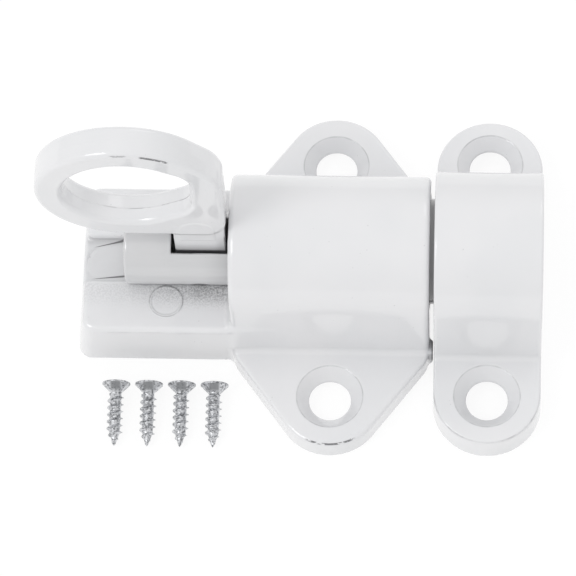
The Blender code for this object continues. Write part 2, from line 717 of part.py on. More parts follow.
def make_ring_pin(material, parent):
    """Build the cross pin that holds the lug in the rod's slot."""
    half_chord = math.sqrt(ROD_RADIUS ** 2 - (PIN_DROP + PIN_DIAMETER / 2) ** 2) - PIN_SINK
    edge = PIN_DIAMETER / 10
    radius = PIN_DIAMETER / 2
    profile = [
        (0.0, half_chord), (radius - edge, half_chord), (radius, half_chord - edge),
        (radius, edge - half_chord), (radius - edge, -half_chord), (0.0, -half_chord),
    ]
    pin = turned("ring_pin", profile, SMALL_SEGMENTS)
    pin.rotation_euler = (math.pi / 2, 0.0, 0.0)
    pin.location = (PIN_X * MM, 0.0, PIN_Z * MM)
    finish(pin, material)
    hang_on(pin, parent)
    return pin


# Return spring

def spring_points():
    """Return the centre line of the spring's wire, closed at both ends, in millimetres.

    The wire advances by its own thickness a turn in the closed end turns, and by the rest of
    the length, evenly, in the active turns between them.
    """
    first_x = SPRING_SEAT_X + GAP + SPRING_WIRE / 2
    last_x = NOSE_SHOULDER_X - GAP - SPRING_WIRE / 2
    closed_pitch = SPRING_WIRE + GAP / 3
    closed_length = closed_pitch * SPRING_END_TURNS
    active_length = last_x - first_x - 2 * closed_length
    turns = SPRING_ACTIVE_TURNS + 2 * SPRING_END_TURNS
    count = int(round(turns * SPRING_POINTS_PER_TURN))
    radius = SPRING_MEAN_DIAMETER / 2
    points = []
    for index in range(count + 1):
        turn = turns * index / count
        into_start = min(turn, SPRING_END_TURNS)
        into_active = min(max(turn - SPRING_END_TURNS, 0.0), SPRING_ACTIVE_TURNS)
        into_end = max(turn - SPRING_END_TURNS - SPRING_ACTIVE_TURNS, 0.0)
        x = first_x + closed_pitch * (into_start + into_end)
        x += active_length * into_active / SPRING_ACTIVE_TURNS
        angle = 2 * math.pi * turn
        points.append((x, radius * math.cos(angle), AXIS_HEIGHT + radius * math.sin(angle)))
    return points


def make_return_spring(material):
    """Build the compression spring between the end wall and the nose's shoulder."""
    curve = bpy.data.curves.new("return_spring", "CURVE")
    curve.dimensions = "3D"
    curve.bevel_depth = SPRING_WIRE / 2 * MM
    curve.bevel_resolution = 2
    curve.use_fill_caps = True
    points = spring_points()
    spline = curve.splines.new("POLY")
    spline.points.add(len(points) - 1)
    for point, place in zip(spline.points, points):
        point.co = (*(Vector(place) * MM), 1.0)
    return finish(curve_to_mesh(new_object("return_spring", curve)), material)


# Screws

def screw_profile():
    """Return the profile of a countersunk screw, head up, from the top down its outer side."""
    head = SCREW_HEAD_DIAMETER / 2
    shank = SCREW_CREST_DIAMETER / 2
    point_top = SCREW_POINT_LENGTH
    under_head = SCREW_LENGTH - SCREW_HEAD_RIM - (head - shank)
    return [
        (0.0, SCREW_LENGTH), (head, SCREW_LENGTH), (head, SCREW_LENGTH - SCREW_HEAD_RIM),
        (shank, under_head), (shank, point_top), (shank * 0.45, point_top * 0.3), (0.0, 0.0),
    ]


def make_screw_mesh():
    """Return the mesh of one screw, upright on its point, with a cross recess in the head."""
    screw = turned("screw_master", screw_profile(), SMALL_SEGMENTS, TOOL_COLLECTION)
    half_span = SCREW_RECESS_SPAN / 2
    half_width = SCREW_RECESS_WIDTH / 2
    low = SCREW_LENGTH - SCREW_RECESS_DEPTH
    high = SCREW_LENGTH + CUT_OVERRUN
    along = block("recess_along", (-half_span, -half_width, low), (half_span, half_width, high))
    across = block("recess_across", (-half_width, -half_span, low), (half_width, half_span, high))
    boolean(screw, along, "DIFFERENCE")
    boolean(screw, across, "DIFFERENCE")
    bake(screw)
    mesh = screw.data
    bpy.data.objects.remove(screw, do_unlink=True)
    return mesh


def make_screws(material):
    """Lay the screws in a row beside the tail, each resting on its head's rim and its thread."""
    mesh = make_screw_mesh()
    mesh.materials.append(material)
    mesh.shade_smooth()
    mesh.set_sharp_from_angle(angle=math.radians(35.0))
    head = SCREW_HEAD_DIAMETER / 2
    shank = SCREW_CREST_DIAMETER / 2
    rest_length = SCREW_LENGTH - SCREW_HEAD_RIM - SCREW_POINT_LENGTH
    tilt = math.atan2(head - shank, rest_length)
    rim = SCREW_LENGTH - SCREW_HEAD_RIM
    screws = []
    for index in range(SCREW_COUNT):
        screw = new_object(f"screw_{index + 1}", mesh)
        lay = Matrix.Rotation(tilt - math.pi / 2, 4, "X")
        rim_bottom_z = rim * math.sin(tilt) - head * math.cos(tilt)
        place = Vector((
            SCREW_FIRST_X + index * SCREW_PITCH_X,
            SCREW_HEAD_Y - SCREW_LENGTH * math.cos(tilt),
            -rim_bottom_z))
        screw.matrix_world = Matrix.Translation(place * MM) @ lay
        screws.append(screw)
    return screws


def main():
    """Build the whole latch."""
    clear_scene()
    make_collection(PART_COLLECTION)
    make_collection(TOOL_COLLECTION)
    bolt_axis = new_object("bolt_axis", None)
    bolt_axis.empty_display_size = ROD_RADIUS * MM
    bolt_axis.location = (0.0, 0.0, AXIS_HEIGHT * MM)
    bpy.context.view_layer.update()
    make_housing(make_material("white_casting", (0.80, 0.80, 0.81), 0.25, 0.0))
    make_keeper(make_material("white_keeper", (0.80, 0.80, 0.81), 0.25, 0.0))
    make_bolt(make_material("white_bolt", (0.78, 0.78, 0.79), 0.28, 0.0), bolt_axis)
    make_pull_ring(make_material("white_ring", (0.80, 0.80, 0.81), 0.25, 0.0), bolt_axis)
    make_ring_pin(make_material("pin_steel", (0.60, 0.60, 0.62), 0.35, 1.0), bolt_axis)
    make_return_spring(make_material("spring_steel", (0.55, 0.56, 0.58), 0.35, 1.0))
    make_screws(make_material("zinc_plate", (0.66, 0.67, 0.70), 0.35, 1.0))


main()
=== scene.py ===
"""Looks of the cast spring bolt latch: its castings, bolt, ring, spring and loose screws.

Every length of a piece is in millimetres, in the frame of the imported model: Z = 0 is the
mounting plane, the bolt shoots along +X, and Y runs from screw hole to screw hole. Meshes are
put into the scene in metres. A span holds two places: the limits of a form, or where a mark in
the paint begins and where it is full.

The castings have soft joins where several forms run together, which no single grid can follow.
They are made as fields of distances worked out on whole arrays, and a skin is laid on each
field. Turned, wound and threaded pieces are grids of two parameters.
"""

import logging
import math
from dataclasses import dataclass
from enum import Enum
from functools import cached_property
from typing import Callable, Union

import bpy
import numpy as np
from mathutils import Matrix, Vector


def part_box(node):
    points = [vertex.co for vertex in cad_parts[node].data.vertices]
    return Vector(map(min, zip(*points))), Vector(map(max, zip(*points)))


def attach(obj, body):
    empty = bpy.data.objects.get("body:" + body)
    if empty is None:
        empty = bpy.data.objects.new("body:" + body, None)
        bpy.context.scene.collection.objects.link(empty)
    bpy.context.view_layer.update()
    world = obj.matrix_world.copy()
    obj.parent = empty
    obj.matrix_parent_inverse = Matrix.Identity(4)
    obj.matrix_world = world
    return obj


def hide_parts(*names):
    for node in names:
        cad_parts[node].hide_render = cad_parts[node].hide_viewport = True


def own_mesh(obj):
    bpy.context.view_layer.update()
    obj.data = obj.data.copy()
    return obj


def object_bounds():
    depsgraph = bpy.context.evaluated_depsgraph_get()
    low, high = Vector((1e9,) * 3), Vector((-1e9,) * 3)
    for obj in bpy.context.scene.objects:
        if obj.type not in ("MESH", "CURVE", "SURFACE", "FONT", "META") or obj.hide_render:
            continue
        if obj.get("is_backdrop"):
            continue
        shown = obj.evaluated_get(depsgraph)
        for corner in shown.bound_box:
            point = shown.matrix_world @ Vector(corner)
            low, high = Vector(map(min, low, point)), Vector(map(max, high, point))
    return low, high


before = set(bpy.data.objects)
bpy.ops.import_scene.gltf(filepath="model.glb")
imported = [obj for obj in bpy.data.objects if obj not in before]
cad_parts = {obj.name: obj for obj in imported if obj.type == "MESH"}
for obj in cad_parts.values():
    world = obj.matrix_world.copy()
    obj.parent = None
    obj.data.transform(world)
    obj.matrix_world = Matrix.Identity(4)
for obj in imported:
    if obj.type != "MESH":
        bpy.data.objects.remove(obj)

Array = np.ndarray
Field = Callable[[Array, Array, Array], Array]
Span = tuple[float, float]
Point = tuple[float, float, float]
Colour = tuple[float, float, float]

MM = 0.001
IMAGE_SIDE = 576
WHITE = (1.0, 1.0, 1.0, 1.0)
AXIS_HEIGHT = 15.4
BOLT_AXIS = (0.0, AXIS_HEIGHT)
PIN_PLACE = (-20.35, 12.8)
HOLE_Y = 20.0
UNEVENNESS = 0.012
log = logging.getLogger("latch")


class Body(Enum):
    """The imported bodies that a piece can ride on."""

    LATCH = "latch_body"
    BOLT = "bolt_body"


class Axis(Enum):
    """An axis of the frame, by its place in a point."""

    X = 0
    Y = 1
    Z = 2


# Fields of distances

class Solid:
    """A solid given by a field: the distance to its surface in mm, negative inside."""

    def __init__(self, field: Field) -> None:
        """Keep the field, a function of arrays X, Y and Z."""
        self.at = field

    def __neg__(self) -> "Solid":
        """Return everything outside the solid."""
        return Solid(lambda x, y, z: -self.at(x, y, z))

    def join(self, other: "Solid", fillet: float = 0.0) -> "Solid":
        """Return both solids in one, with a hollow fillet where they meet.

        The smaller distance, less what a circle of the fillet's radius fills in: outside that
        radius the fields are left alone.

        Args:
            other: The solid to add.
            fillet: Radius of the fillet.

        Returns:
            The joined solid.
        """
        @Solid
        def joined(x: Array, y: Array, z: Array) -> Array:
            """Return the distance to the joined surface."""
            a, b = self.at(x, y, z), other.at(x, y, z)
            if fillet <= 0.0:
                return np.minimum(a, b)
            fill = np.hypot(np.maximum(fillet - a, 0.0), np.maximum(fillet - b, 0.0))
            return np.maximum(fillet, np.minimum(a, b)) - fill
        return joined

    def cut(self, other: "Solid", edge: float = 0.0) -> "Solid":
        """Return this solid less the other: its outside joined with the other, turned round."""
        return -(-self).join(other, edge)

    def meet(self, other: "Solid", edge: float = 0.0) -> "Solid":
        """Return what both solids share, with a rounded edge where their surfaces cross."""
        return self.cut(-other, edge)

    def uneven(self, depth: float, turn: float) -> "Solid":
        """Return the solid with the slow unevenness of a hand-fettled casting.

        Two products of long waves across each other, depth high in all, are added to the
        distance.

        Args:
            depth: Height of the waves.
            turn: Phase that sets this casting's waves apart from another's.

        Returns:
            The uneven solid.
        """
        @Solid
        def waved(x: Array, y: Array, z: Array) -> Array:
            """Return the distance to the waved surface."""
            waves = np.sin(0.61 * x + 0.23 * y + turn) * np.cos(0.31 * z + 0.47 * y)
            waves = waves + np.sin(0.29 * x - 0.53 * z + 2.1 * turn) * np.cos(0.67 * y + turn)
            return self.at(x, y, z) + depth * waves / 2.0
        return waved


def below(axis: Axis, limit: float) -> Solid:
    """Return everything that lies below a limit on one axis."""
    return Solid(lambda *point: point[axis.value] - limit)


def above(axis: Axis, limit: float) -> Solid:
    """Return everything that lies above a limit on one axis."""
    return -below(axis, limit)


def slab(axis: Axis, low: float, high: float) -> Solid:
    """Return everything between two limits on one axis."""
    middle, half = (low + high) / 2.0, (high - low) / 2.0
    return Solid(lambda *point: np.abs(point[axis.value] - middle) - half)


def rod(axis: Axis, centre: Span, radius: float) -> Solid:
    """Return an endless round rod: the distance from a line along one axis, less a radius."""
    first, second = [number for number in range(3) if number != axis.value]
    return Solid(lambda *point: np.hypot(
        point[first] - centre[0], point[second] - centre[1]) - radius)


def smooth(value: Array, low: float, high: float) -> Array:
    """Return 0 below low, 1 above high, and between them three squares less two cubes."""
    share = np.clip((value - low) / (high - low), 0.0, 1.0)
    return share * share * (3.0 - 2.0 * share)


class Skinner:
    """Lays a skin of four-sided faces on the zero surface of a solid's field."""

    CORNERS = np.array([(i, j, k) for i in (0, 1) for j in (0, 1) for k in (0, 1)])
    MARGIN = 5
    ROUNDS = 2
    SPAN = 0.02
    LEAST_SLOPE = 0.3

    def __init__(self, solid: Solid, step: float) -> None:
        """Keep the solid and the size of the cells that it is skinned in."""
        self.solid = solid
        self.step = step

    def skin(self, low: Point, high: Point) -> tuple[Array, Array, Array]:
        """Return the skin of the solid inside a box.

        The box is cut into cells. Each cell whose corners aren't all inside or all outside
        gets one point, the mean of where the field crosses zero on the cell's edges. Each grid
        edge that crosses the surface gets a face through the four cells round it. The points
        are then pulled onto the surface and spread evenly over it.

        Args:
            low: Lowest corner of the box.
            high: Highest corner of the box.

        Returns:
            Points in mm, four-sided faces, and the normal at each point.
        """
        ticks = []
        for start, end in zip(low, high):
            count = int(math.ceil((end - start) / self.step)) + self.MARGIN
            middle = (start + end) / 2.0
            ticks.append(middle + (np.arange(count) - (count - 1) / 2.0) * self.step)
        x, y, z = np.ix_(*ticks)
        shape = tuple(len(tick) for tick in ticks)
        values = np.broadcast_to(self.solid.at(x, y, z), shape).astype(np.float32)
        inside = values < 0.0
        cells = tuple(side - 1 for side in shape)
        filled = np.zeros(cells, np.int8)
        for i, j, k in self.CORNERS:
            filled += inside[i:i + cells[0], j:j + cells[1], k:k + cells[2]]
        active = np.argwhere((filled > 0) & (filled < 8))
        number = np.full(cells, -1, np.int32)
        number[tuple(active.T)] = np.arange(len(active))
        origin = np.array([tick[0] for tick in ticks])
        points = origin + self.step * (active + self.crossings(values, active))
        faces = self.faces(inside, number)
        points = self.settle(points, faces)
        return points, faces, self.slope(points)[1]

    def crossings(self, values: Array, active: Array) -> Array:
        """Return, for each active cell, the mean place of its edges' crossings, from 0 to 1."""
        corner = [values[tuple((active + offset).T)].astype(float) for offset in self.CORNERS]
        total = np.zeros(active.shape)
        count = np.zeros(len(active))
        for first in range(8):
            for second in range(first + 1, 8):
                step = self.CORNERS[second] - self.CORNERS[first]
                if np.abs(step).sum() != 1:
                    continue
                a, b = corner[first], corner[second]
                crossed = (a < 0.0) != (b < 0.0)
                share = np.where(crossed, a / np.where(crossed, a - b, 1.0), 0.0)
                place = self.CORNERS[first] + share[:, None] * step
                total += np.where(crossed[:, None], place, 0.0)
                count += crossed
        return total / count[:, None]

    @staticmethod
    def faces(inside: Array, number: Array) -> Array:
        """Return the faces round every grid edge that crosses the surface, facing outwards."""
        found = []
        for along in range(3):
            second, third = (along + 1) % 3, (along + 2) % 3
            near = [slice(1, -1)] * 3
            far = [slice(1, -1)] * 3
            near[along], far[along] = slice(0, -1), slice(1, None)
            leaves = inside[tuple(near)] & ~inside[tuple(far)]
            enters = ~inside[tuple(near)] & inside[tuple(far)]
            for crossed, order in ((leaves, (0, 1, 2, 3)), (enters, (3, 2, 1, 0))):
                base = np.argwhere(crossed)
                base[:, second] += 1
                base[:, third] += 1
                ring = []
                for back_second, back_third in ((1, 1), (0, 1), (0, 0), (1, 0)):
                    cell = base.copy()
                    cell[:, second] -= back_second
                    cell[:, third] -= back_third
                    ring.append(number[tuple(cell.T)])
                found.append(np.stack([ring[place] for place in order], 1))
        return np.concatenate(found)

    def slope(self, points: Array) -> tuple[Array, Array]:
        """Return the field at points and its unit slope, by differences across a short span."""
        value = self.solid.at(*points.T)
        slope = np.empty_like(points)
        for axis in range(3):
            step = np.zeros(3)
            step[axis] = self.SPAN
            ahead = self.solid.at(*(points + step).T)
            behind = self.solid.at(*(points - step).T)
            slope[:, axis] = (ahead - behind) / (2.0 * self.SPAN)
        steepness = np.maximum(np.linalg.norm(slope, axis=1), self.LEAST_SLOPE)
        return value / steepness, slope / steepness[:, None]

    def pull(self, points: Array) -> Array:
        """Return points moved onto the surface, back along the slope by their distance."""
        value, normal = self.slope(points)
        return points - np.clip(value, -self.step / 2.0, self.step / 2.0)[:, None] * normal

    def settle(self, points: Array, faces: Array) -> Array:
        """Pull points onto the surface and spread them evenly over it.

        Each round moves a point half way to the mean of its neighbours, along the surface
        only, and then back onto the surface by the distance over the slope.

        Args:
            points: Points near the surface.
            faces: Faces between them, which say who the neighbours are.

        Returns:
            Points on the surface.
        """
        start, end = faces.ravel(), np.roll(faces, -1, 1).ravel()
        ends, others = np.concatenate([start, end]), np.concatenate([end, start])
        count = np.bincount(ends, minlength=len(points)).astype(float)
        points = self.pull(self.pull(points))
        for _ in range(self.ROUNDS):
            mean = np.stack([np.bincount(ends, points[others, axis], len(points))
                             for axis in range(3)], 1) / count[:, None]
            normal = self.slope(points)[1]
            shift = 0.5 * (mean - points)
            shift -= (shift * normal).sum(1)[:, None] * normal
            points = self.pull(points + shift)
        return self.pull(points)


# Meshes

def mesh_of(name: str, points: Array, faces: Array) -> bpy.types.Mesh:
    """Return a smooth mesh from points in mm and faces of one number of corners."""
    mesh = bpy.data.meshes.new(name)
    corners = faces.shape[1]
    mesh.vertices.add(len(points))
    mesh.vertices.foreach_set("co", (points * MM).astype(np.float32).ravel())
    mesh.loops.add(faces.size)
    mesh.loops.foreach_set("vertex_index", faces.astype(np.int32).ravel())
    mesh.polygons.add(len(faces))
    mesh.polygons.foreach_set("loop_start", np.arange(0, faces.size, corners, dtype=np.int32))
    mesh.update(calc_edges=True)
    mesh.validate()
    mesh.shade_smooth()
    return mesh


def closed_grid(name: str, points: Array, across: int) -> bpy.types.Mesh:
    """Return the mesh of a grid of closed rows whose first and last rows are drawn shut.

    Args:
        name: The mesh's name.
        points: Points row by row.
        across: Points in a row.

    Returns:
        A closed mesh whose faces point outwards.
    """
    last = len(points) - across
    column, row = np.meshgrid(np.arange(across), np.arange(0, last, across))
    after = (column + 1) % across
    a, b, c, d = (part.ravel() for part in (
        row + column, row + after, row + across + after, row + across + column))
    column, after = column[0], after[0]
    low, high = np.full(across, len(points)), np.full(across, len(points) + 1)
    points = np.concatenate([points, [points[:across].mean(0), points[last:].mean(0)]])
    faces = np.concatenate([np.stack(three, 1) for three in (
        (a, b, c), (a, c, d), (low, after, column), (high, column + last, after + last))])
    corner = points[faces]
    volume = np.einsum("ij,ij->", corner[:, 0], np.cross(corner[:, 1], corner[:, 2]))
    return mesh_of(name, points, faces if volume > 0.0 else faces[:, ::-1])


def put(name: str, data: bpy.types.ID) -> bpy.types.Object:
    """Put a mesh, lamp or camera in the scene as an object of its own."""
    made = bpy.data.objects.new(name, data)
    bpy.context.scene.collection.objects.link(made)
    return made


def place_piece(name: str, mesh: bpy.types.Mesh, material: bpy.types.Material, body: Body,
                node: str) -> bpy.types.Object:
    """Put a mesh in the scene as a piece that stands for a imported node.

    Args:
        name: The piece's name.
        mesh: Its mesh, in place.
        material: Its finish.
        body: The body that it rides on.
        node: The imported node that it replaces.

    Returns:
        The piece.
    """
    mesh.materials.append(material)
    piece = put(name, mesh)
    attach(piece, body.value)
    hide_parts(node)
    log.info("%s: %d points, %d faces", name, len(mesh.vertices), len(mesh.polygons))
    return piece


# Shader graphs

Value = Union["Wire", float, tuple]


def operator(operation: str, swapped: bool = False) -> Callable[["Wire", Value], "Wire"]:
    """Return a method of Wire that adds a Math node, with the other value first if swapped."""
    def method(wire: "Wire", other: Value) -> "Wire":
        """Return the result of the operation on the wire and the other value."""
        return wire.graph.math(operation, *((other, wire) if swapped else (wire, other)))
    return method


class Wire:
    """An output in a shader graph. Arithmetic on it adds the node that works it out."""

    __add__, __radd__ = operator("ADD"), operator("ADD", True)
    __sub__, __rsub__ = operator("SUBTRACT"), operator("SUBTRACT", True)
    __mul__, __rmul__ = operator("MULTIPLY"), operator("MULTIPLY", True)
    __truediv__ = operator("DIVIDE")

    def __init__(self, graph: "Graph", socket: bpy.types.NodeSocket) -> None:
        """Keep the graph and the output."""
        self.graph = graph
        self.socket = socket

    def __abs__(self) -> "Wire":
        """Return the size without its sign."""
        return self.work("ABSOLUTE")

    def work(self, operation: str, *others: Value) -> "Wire":
        """Return the result of a Math operation on this and the other values."""
        return self.graph.math(operation, self, *others)

    def rise(self, low: float, high: float) -> "Wire":
        """Return 0 below low and 1 above high, with a smooth rise between them."""
        return self.graph.node(
            "ShaderNodeMapRange", {"interpolation_type": "SMOOTHSTEP", "clamp": True},
            {"Value": self, "From Min": low, "From Max": high})

    def fall(self, low: float, high: float) -> "Wire":
        """Return 1 below low and 0 above high, with a smooth fall between them."""
        return 1.0 - self.rise(low, high)


class Graph:
    """The shader graph of a material or a world, on coordinates in millimetres."""

    def __init__(self, owner: bpy.types.Material | bpy.types.World) -> None:
        """Start an empty graph."""
        owner.use_nodes = True
        self.owner = owner
        self.tree = owner.node_tree
        self.tree.nodes.clear()

    def add(self, kind: str, settings: dict[str, object] | None = None,
            inputs: dict[str | int, Value] | None = None) -> bpy.types.Node:
        """Add a node.

        Args:
            kind: The node's type.
            settings: Its properties, set before its inputs.
            inputs: Values or wires for its inputs, by name or number.

        Returns:
            The node.
        """
        made = self.tree.nodes.new(kind)
        for key, value in (settings or {}).items():
            setattr(made, key, value)
        for key, value in (inputs or {}).items():
            if isinstance(value, Wire):
                self.tree.links.new(value.socket, made.inputs[key])
            else:
                made.inputs[key].default_value = value
        return made

    def node(self, kind: str, settings: dict[str, object] | None = None,
             inputs: dict[str | int, Value] | None = None, output: str | int = 0) -> Wire:
        """Add a node as add does, and return one of its outputs, by name or number."""
        return Wire(self, self.add(kind, settings, inputs).outputs[output])

    def math(self, operation: str, *values: Value) -> Wire:
        """Return the result of a Math node on the values."""
        return self.node("ShaderNodeMath", {"operation": operation}, dict(enumerate(values)))

    @cached_property
    def place(self) -> Wire:
        """Return the piece's own coordinates in millimetres."""
        place = self.node("ShaderNodeTexCoord", output="Object")
        return self.node(
            "ShaderNodeVectorMath", {"operation": "SCALE"}, {"Vector": place, "Scale": 1.0 / MM})

    def split(self, place: Wire | None = None) -> tuple[Wire, Wire, Wire]:
        """Return the X, Y and Z of a place, or of the coordinates if none is given."""
        parts = self.add("ShaderNodeSeparateXYZ", {}, {0: place or self.place})
        return tuple(Wire(self, socket) for socket in parts.outputs)

    def noise(self, scale: float, detail: float = 2.0, stretch: Point | None = None) -> Wire:
        """Return noise from 0 to 1.

        Args:
            scale: Waves a millimetre.
            detail: Layers of finer noise.
            stretch: How much more often it repeats along X, Y and Z.

        Returns:
            The noise.
        """
        place = self.place
        if stretch is not None:
            place = self.node("ShaderNodeVectorMath", {"operation": "MULTIPLY"},
                              {0: place, 1: stretch})
        return self.node("ShaderNodeTexNoise", {}, {
            "Vector": place, "Scale": scale, "Detail": detail, "Roughness": 0.5}, "Fac")

    def length(self, first: Wire, second: Wire) -> Wire:
        """Return the length of a step given by its two parts."""
        return (first * first + second * second).work("SQRT")

    def blend(self, share: Value, low: Value, high: Value) -> Wire:
        """Return a colour between two, by a share from 0 to 1."""
        low, high = [(*one, 1.0) if isinstance(one, tuple) else one for one in (low, high)]
        return self.node("ShaderNodeMix", {"data_type": "RGBA"},
                         {"Factor": share, "A": low, "B": high}, "Result")

    def close(self, surface: Wire, kind: str = "ShaderNodeOutputMaterial") -> None:
        """End the graph with the output that shows a surface."""
        self.add(kind, {}, {"Surface": surface})

    def surface(self, fixed: dict[str, Value], varied: dict[str, Value],
                height: Wire) -> bpy.types.Material:
        """Finish the graph of a material with the surface shader.

        Args:
            fixed: Inputs that are the same all over.
            varied: Inputs that follow a wire.
            height: Height of the surface's relief in millimetres.

        Returns:
            The material.
        """
        normal = self.node(
            "ShaderNodeBump", {}, {"Strength": 1.0, "Distance": MM, "Height": height})
        inputs = {**fixed, **varied, "Normal": normal}
        self.close(self.node("ShaderNodeBsdfPrincipled", {}, inputs, "BSDF"))
        return self.owner


def graph_of(name: str) -> Graph:
    """Return the empty graph of a new material."""
    return Graph(bpy.data.materials.new(name))


Marks = Callable[[Graph], Value]


# Finishes

@dataclass(frozen=True)
class GlossPaint:
    """Gloss white paint on a die casting: slight orange peel, specks, worn edges, painted shade.
    """

    colour: Colour = (0.815, 0.815, 0.828)
    shade: Colour = (0.785, 0.79, 0.805)
    # Dark colour for metal and painted shade; grey for specks, wear and painted shade.
    bare_and_shade: Colour = (0.20, 0.20, 0.21)
    dust_and_shade: Colour = (0.30, 0.30, 0.31)
    peel: float = 0.006
    pits: float = 0.002
    speck_share: float = 0.6
    worn_and_shade_share: float = 0.55
    chip_depth: float = 0.04

    def material(self, name: str, worn: Marks, chipped_and_shaded: Marks | None = None,
                 relief: Marks | None = None) -> bpy.types.Material:
        """Return the paint for one piece.

        Args:
            name: The material's name.
            worn: Where the paint is worn thin and grey, and where grey painted shade is laid on.
            chipped_and_shaded: Where it is off down to dark metal, and where dark painted shade
                is laid on.
            relief: Height of this piece's own marks in millimetres.

        Returns:
            The material.
        """
        graph = graph_of(name)
        cloud = graph.noise(0.07, 2.0).rise(0.35, 0.65)
        colour = graph.blend(cloud, self.colour, self.shade)
        speck = graph.noise(2.6, 1.0).rise(0.765, 0.80) * graph.noise(0.21, 1.0).rise(0.55, 0.62)
        colour = graph.blend(speck * self.speck_share, colour, self.dust_and_shade)
        height = graph.noise(0.33, 1.0) * self.peel + graph.noise(1.7, 2.0) * self.pits
        # The grey marks are real wear and painted shade that each piece lays on.
        grey = worn(graph)
        colour = graph.blend(grey * self.worn_and_shade_share, colour, self.dust_and_shade)
        rough = 0.30 + graph.noise(0.5, 2.0) * 0.10 + grey * 0.2
        if relief is not None:
            height = height + relief(graph)
        metal: Wire | float = 0.0
        if chipped_and_shaded is not None:
            # The dark marks are real flaking to metal and painted shade in gaps and crevices.
            bare_and_shade = chipped_and_shaded(graph)
            colour = graph.blend(bare_and_shade, colour, self.bare_and_shade)
            height = height - bare_and_shade * self.chip_depth
            rough = rough + bare_and_shade * 0.25
            metal = bare_and_shade * 0.6
        return graph.surface(
            {"IOR": 1.45, "Coat Weight": 1.0, "Coat IOR": 1.7, "Coat Roughness": 0.03},
            {"Base Color": colour, "Roughness": rough, "Metallic": metal}, height)


@dataclass(frozen=True)
class Steel:
    """Drawn or turned steel with fine lines round or along the piece."""

    colour: Colour = (0.56, 0.565, 0.58)
    dark: Colour = (0.38, 0.385, 0.40)

    def material(self, name: str, lines: Point) -> bpy.types.Material:
        """Return the steel, with lines that repeat most along the greatest of three numbers."""
        graph = graph_of(name)
        streak = graph.noise(1.2, 3.0, lines)
        colour = graph.blend(streak.rise(0.35, 0.7), self.colour, self.dark)
        rough = 0.26 + streak * 0.2
        return graph.surface({"Metallic": 1.0}, {"Base Color": colour, "Roughness": rough},
                             streak * 0.01)


@dataclass(frozen=True)
class ZincPlate:
    """Bright zinc plate, crystalline and a little patchy."""

    colour: Colour = (0.70, 0.71, 0.73)
    dark: Colour = (0.22, 0.225, 0.235)

    def material(self, name: str, shade: Marks) -> bpy.types.Material:
        """Return the zinc plate, darker in patches and where a piece's painted shade is higher.
        """
        graph = graph_of(name)
        patch = graph.noise(2.8, 3.0)
        fleck = graph.noise(5.5, 2.0)
        share = patch.rise(0.42, 0.68).work("MAXIMUM", shade(graph))
        colour = graph.blend(share, self.colour, self.dark)
        rough = 0.20 + fleck * 0.28
        height = patch * 0.07 + fleck * 0.02
        return graph.surface({"Metallic": 1.0}, {"Base Color": colour, "Roughness": rough},
                             height)


# Castings

@dataclass(frozen=True)
class Screwhole:
    """A countersunk screw hole through an ear."""

    x: float
    y: float
    top: float
    radius: float = 3.2
    rim: float = 5.2
    flare: float = 0.45
    throat_fillet: float = 0.2
    edge: float = 0.12

    def cutter(self) -> Solid:
        """Return what the hole takes away.

        A hole that opens a little towards the mounting plane, below its throat, joined with a
        cone whose radius grows as fast as its height, up to the rim at the ear's top.
        """
        @Solid
        def cone(x: Array, y: Array, z: Array) -> Array:
            """Return the distance to the countersink."""
            return (np.hypot(x - self.x, y - self.y) - self.rim - (z - self.top)) * math.sqrt(0.5)

        @Solid
        def throat(x: Array, y: Array, z: Array) -> Array:
            """Return the distance to the hole's wall."""
            drop = np.maximum(self.top - self.rim + self.radius - z, 0.0)
            return np.hypot(x - self.x, y - self.y) - self.radius - self.flare * drop
        return throat.join(cone, self.throat_fillet).meet(below(Axis.Z, self.top + 1.0))

    def worn(self, graph: Graph) -> Wire:
        """Return the thin line round the rim where the paint has gone."""
        x, y, z = graph.split()
        line = abs(graph.length(x - self.x, y - self.y) - self.rim).fall(0.05, 0.14)
        return line * z.rise(self.top - 0.45, self.top - 0.25)


class Eared:
    """What the housing and the keeper share: a screw hole in the near and in the far ear."""

    hole_x: float
    ear_thickness: float

    def holes(self) -> list[Screwhole]:
        """Return both screw holes."""
        return [Screwhole(self.hole_x, y, self.ear_thickness) for y in (-HOLE_Y, HOLE_Y)]

    def drilled(self, body: Solid) -> Solid:
        """Return a casting with its screw holes and its flat back on the mounting plane."""
        for hole in self.holes():
            body = body.cut(hole.cutter(), hole.edge)
        return body.meet(above(Axis.Z, 0.0), 0.2)

    def worn_rims(self, graph: Graph) -> Wire:
        """Return how far the paint has gone, on a thin broken line round each hole's rim."""
        near, far = [hole.worn(graph) for hole in self.holes()]
        return (near + far) * (0.45 + graph.noise(0.7, 3.0).rise(0.35, 0.65) * 0.4)


def arched(half_width: float, draft: float) -> Solid:
    """Return an endless arch along X: round above the bolt axis, with walls that lean out.

    A wall is the tangent that touches the round where its slope equals the draft. Above the
    touching point the distance is that from the axis less the half width.

    Args:
        half_width: Radius of the round.
        draft: How far a wall leans out for each millimetre down.

    Returns:
        The arch.
    """
    lean = math.atan(draft)

    @Solid
    def arch(x: Array, y: Array, z: Array) -> Array:
        """Return the distance to the round or to the wall."""
        out, up = np.abs(y), z - AXIS_HEIGHT
        wall = out * math.cos(lean) + up * math.sin(lean)
        return np.where(up > out * draft, np.hypot(out, up), wall) - half_width
    return arch


def build_casting(name: str, solid: Solid, step: float, box: tuple[Point, Point],
                  material: bpy.types.Material, body: Body, node: str) -> bpy.types.Object:
    """Skin a solid and make the skin a piece, shaded by the field's own normals.

    Args:
        name: The piece's name.
        solid: The solid.
        step: Size of the cells that it is skinned in.
        box: Lowest and highest corner of the box round it.
        material: Its finish.
        body: The body that it rides on.
        node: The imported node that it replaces.

    Returns:
        The piece.
    """
    points, faces, normals = Skinner(solid, step).skin(*box)
    mesh = mesh_of(name, points, faces)
    mesh.normals_split_custom_set_from_vertices(normals)
    return place_piece(name, mesh, material, body, node)


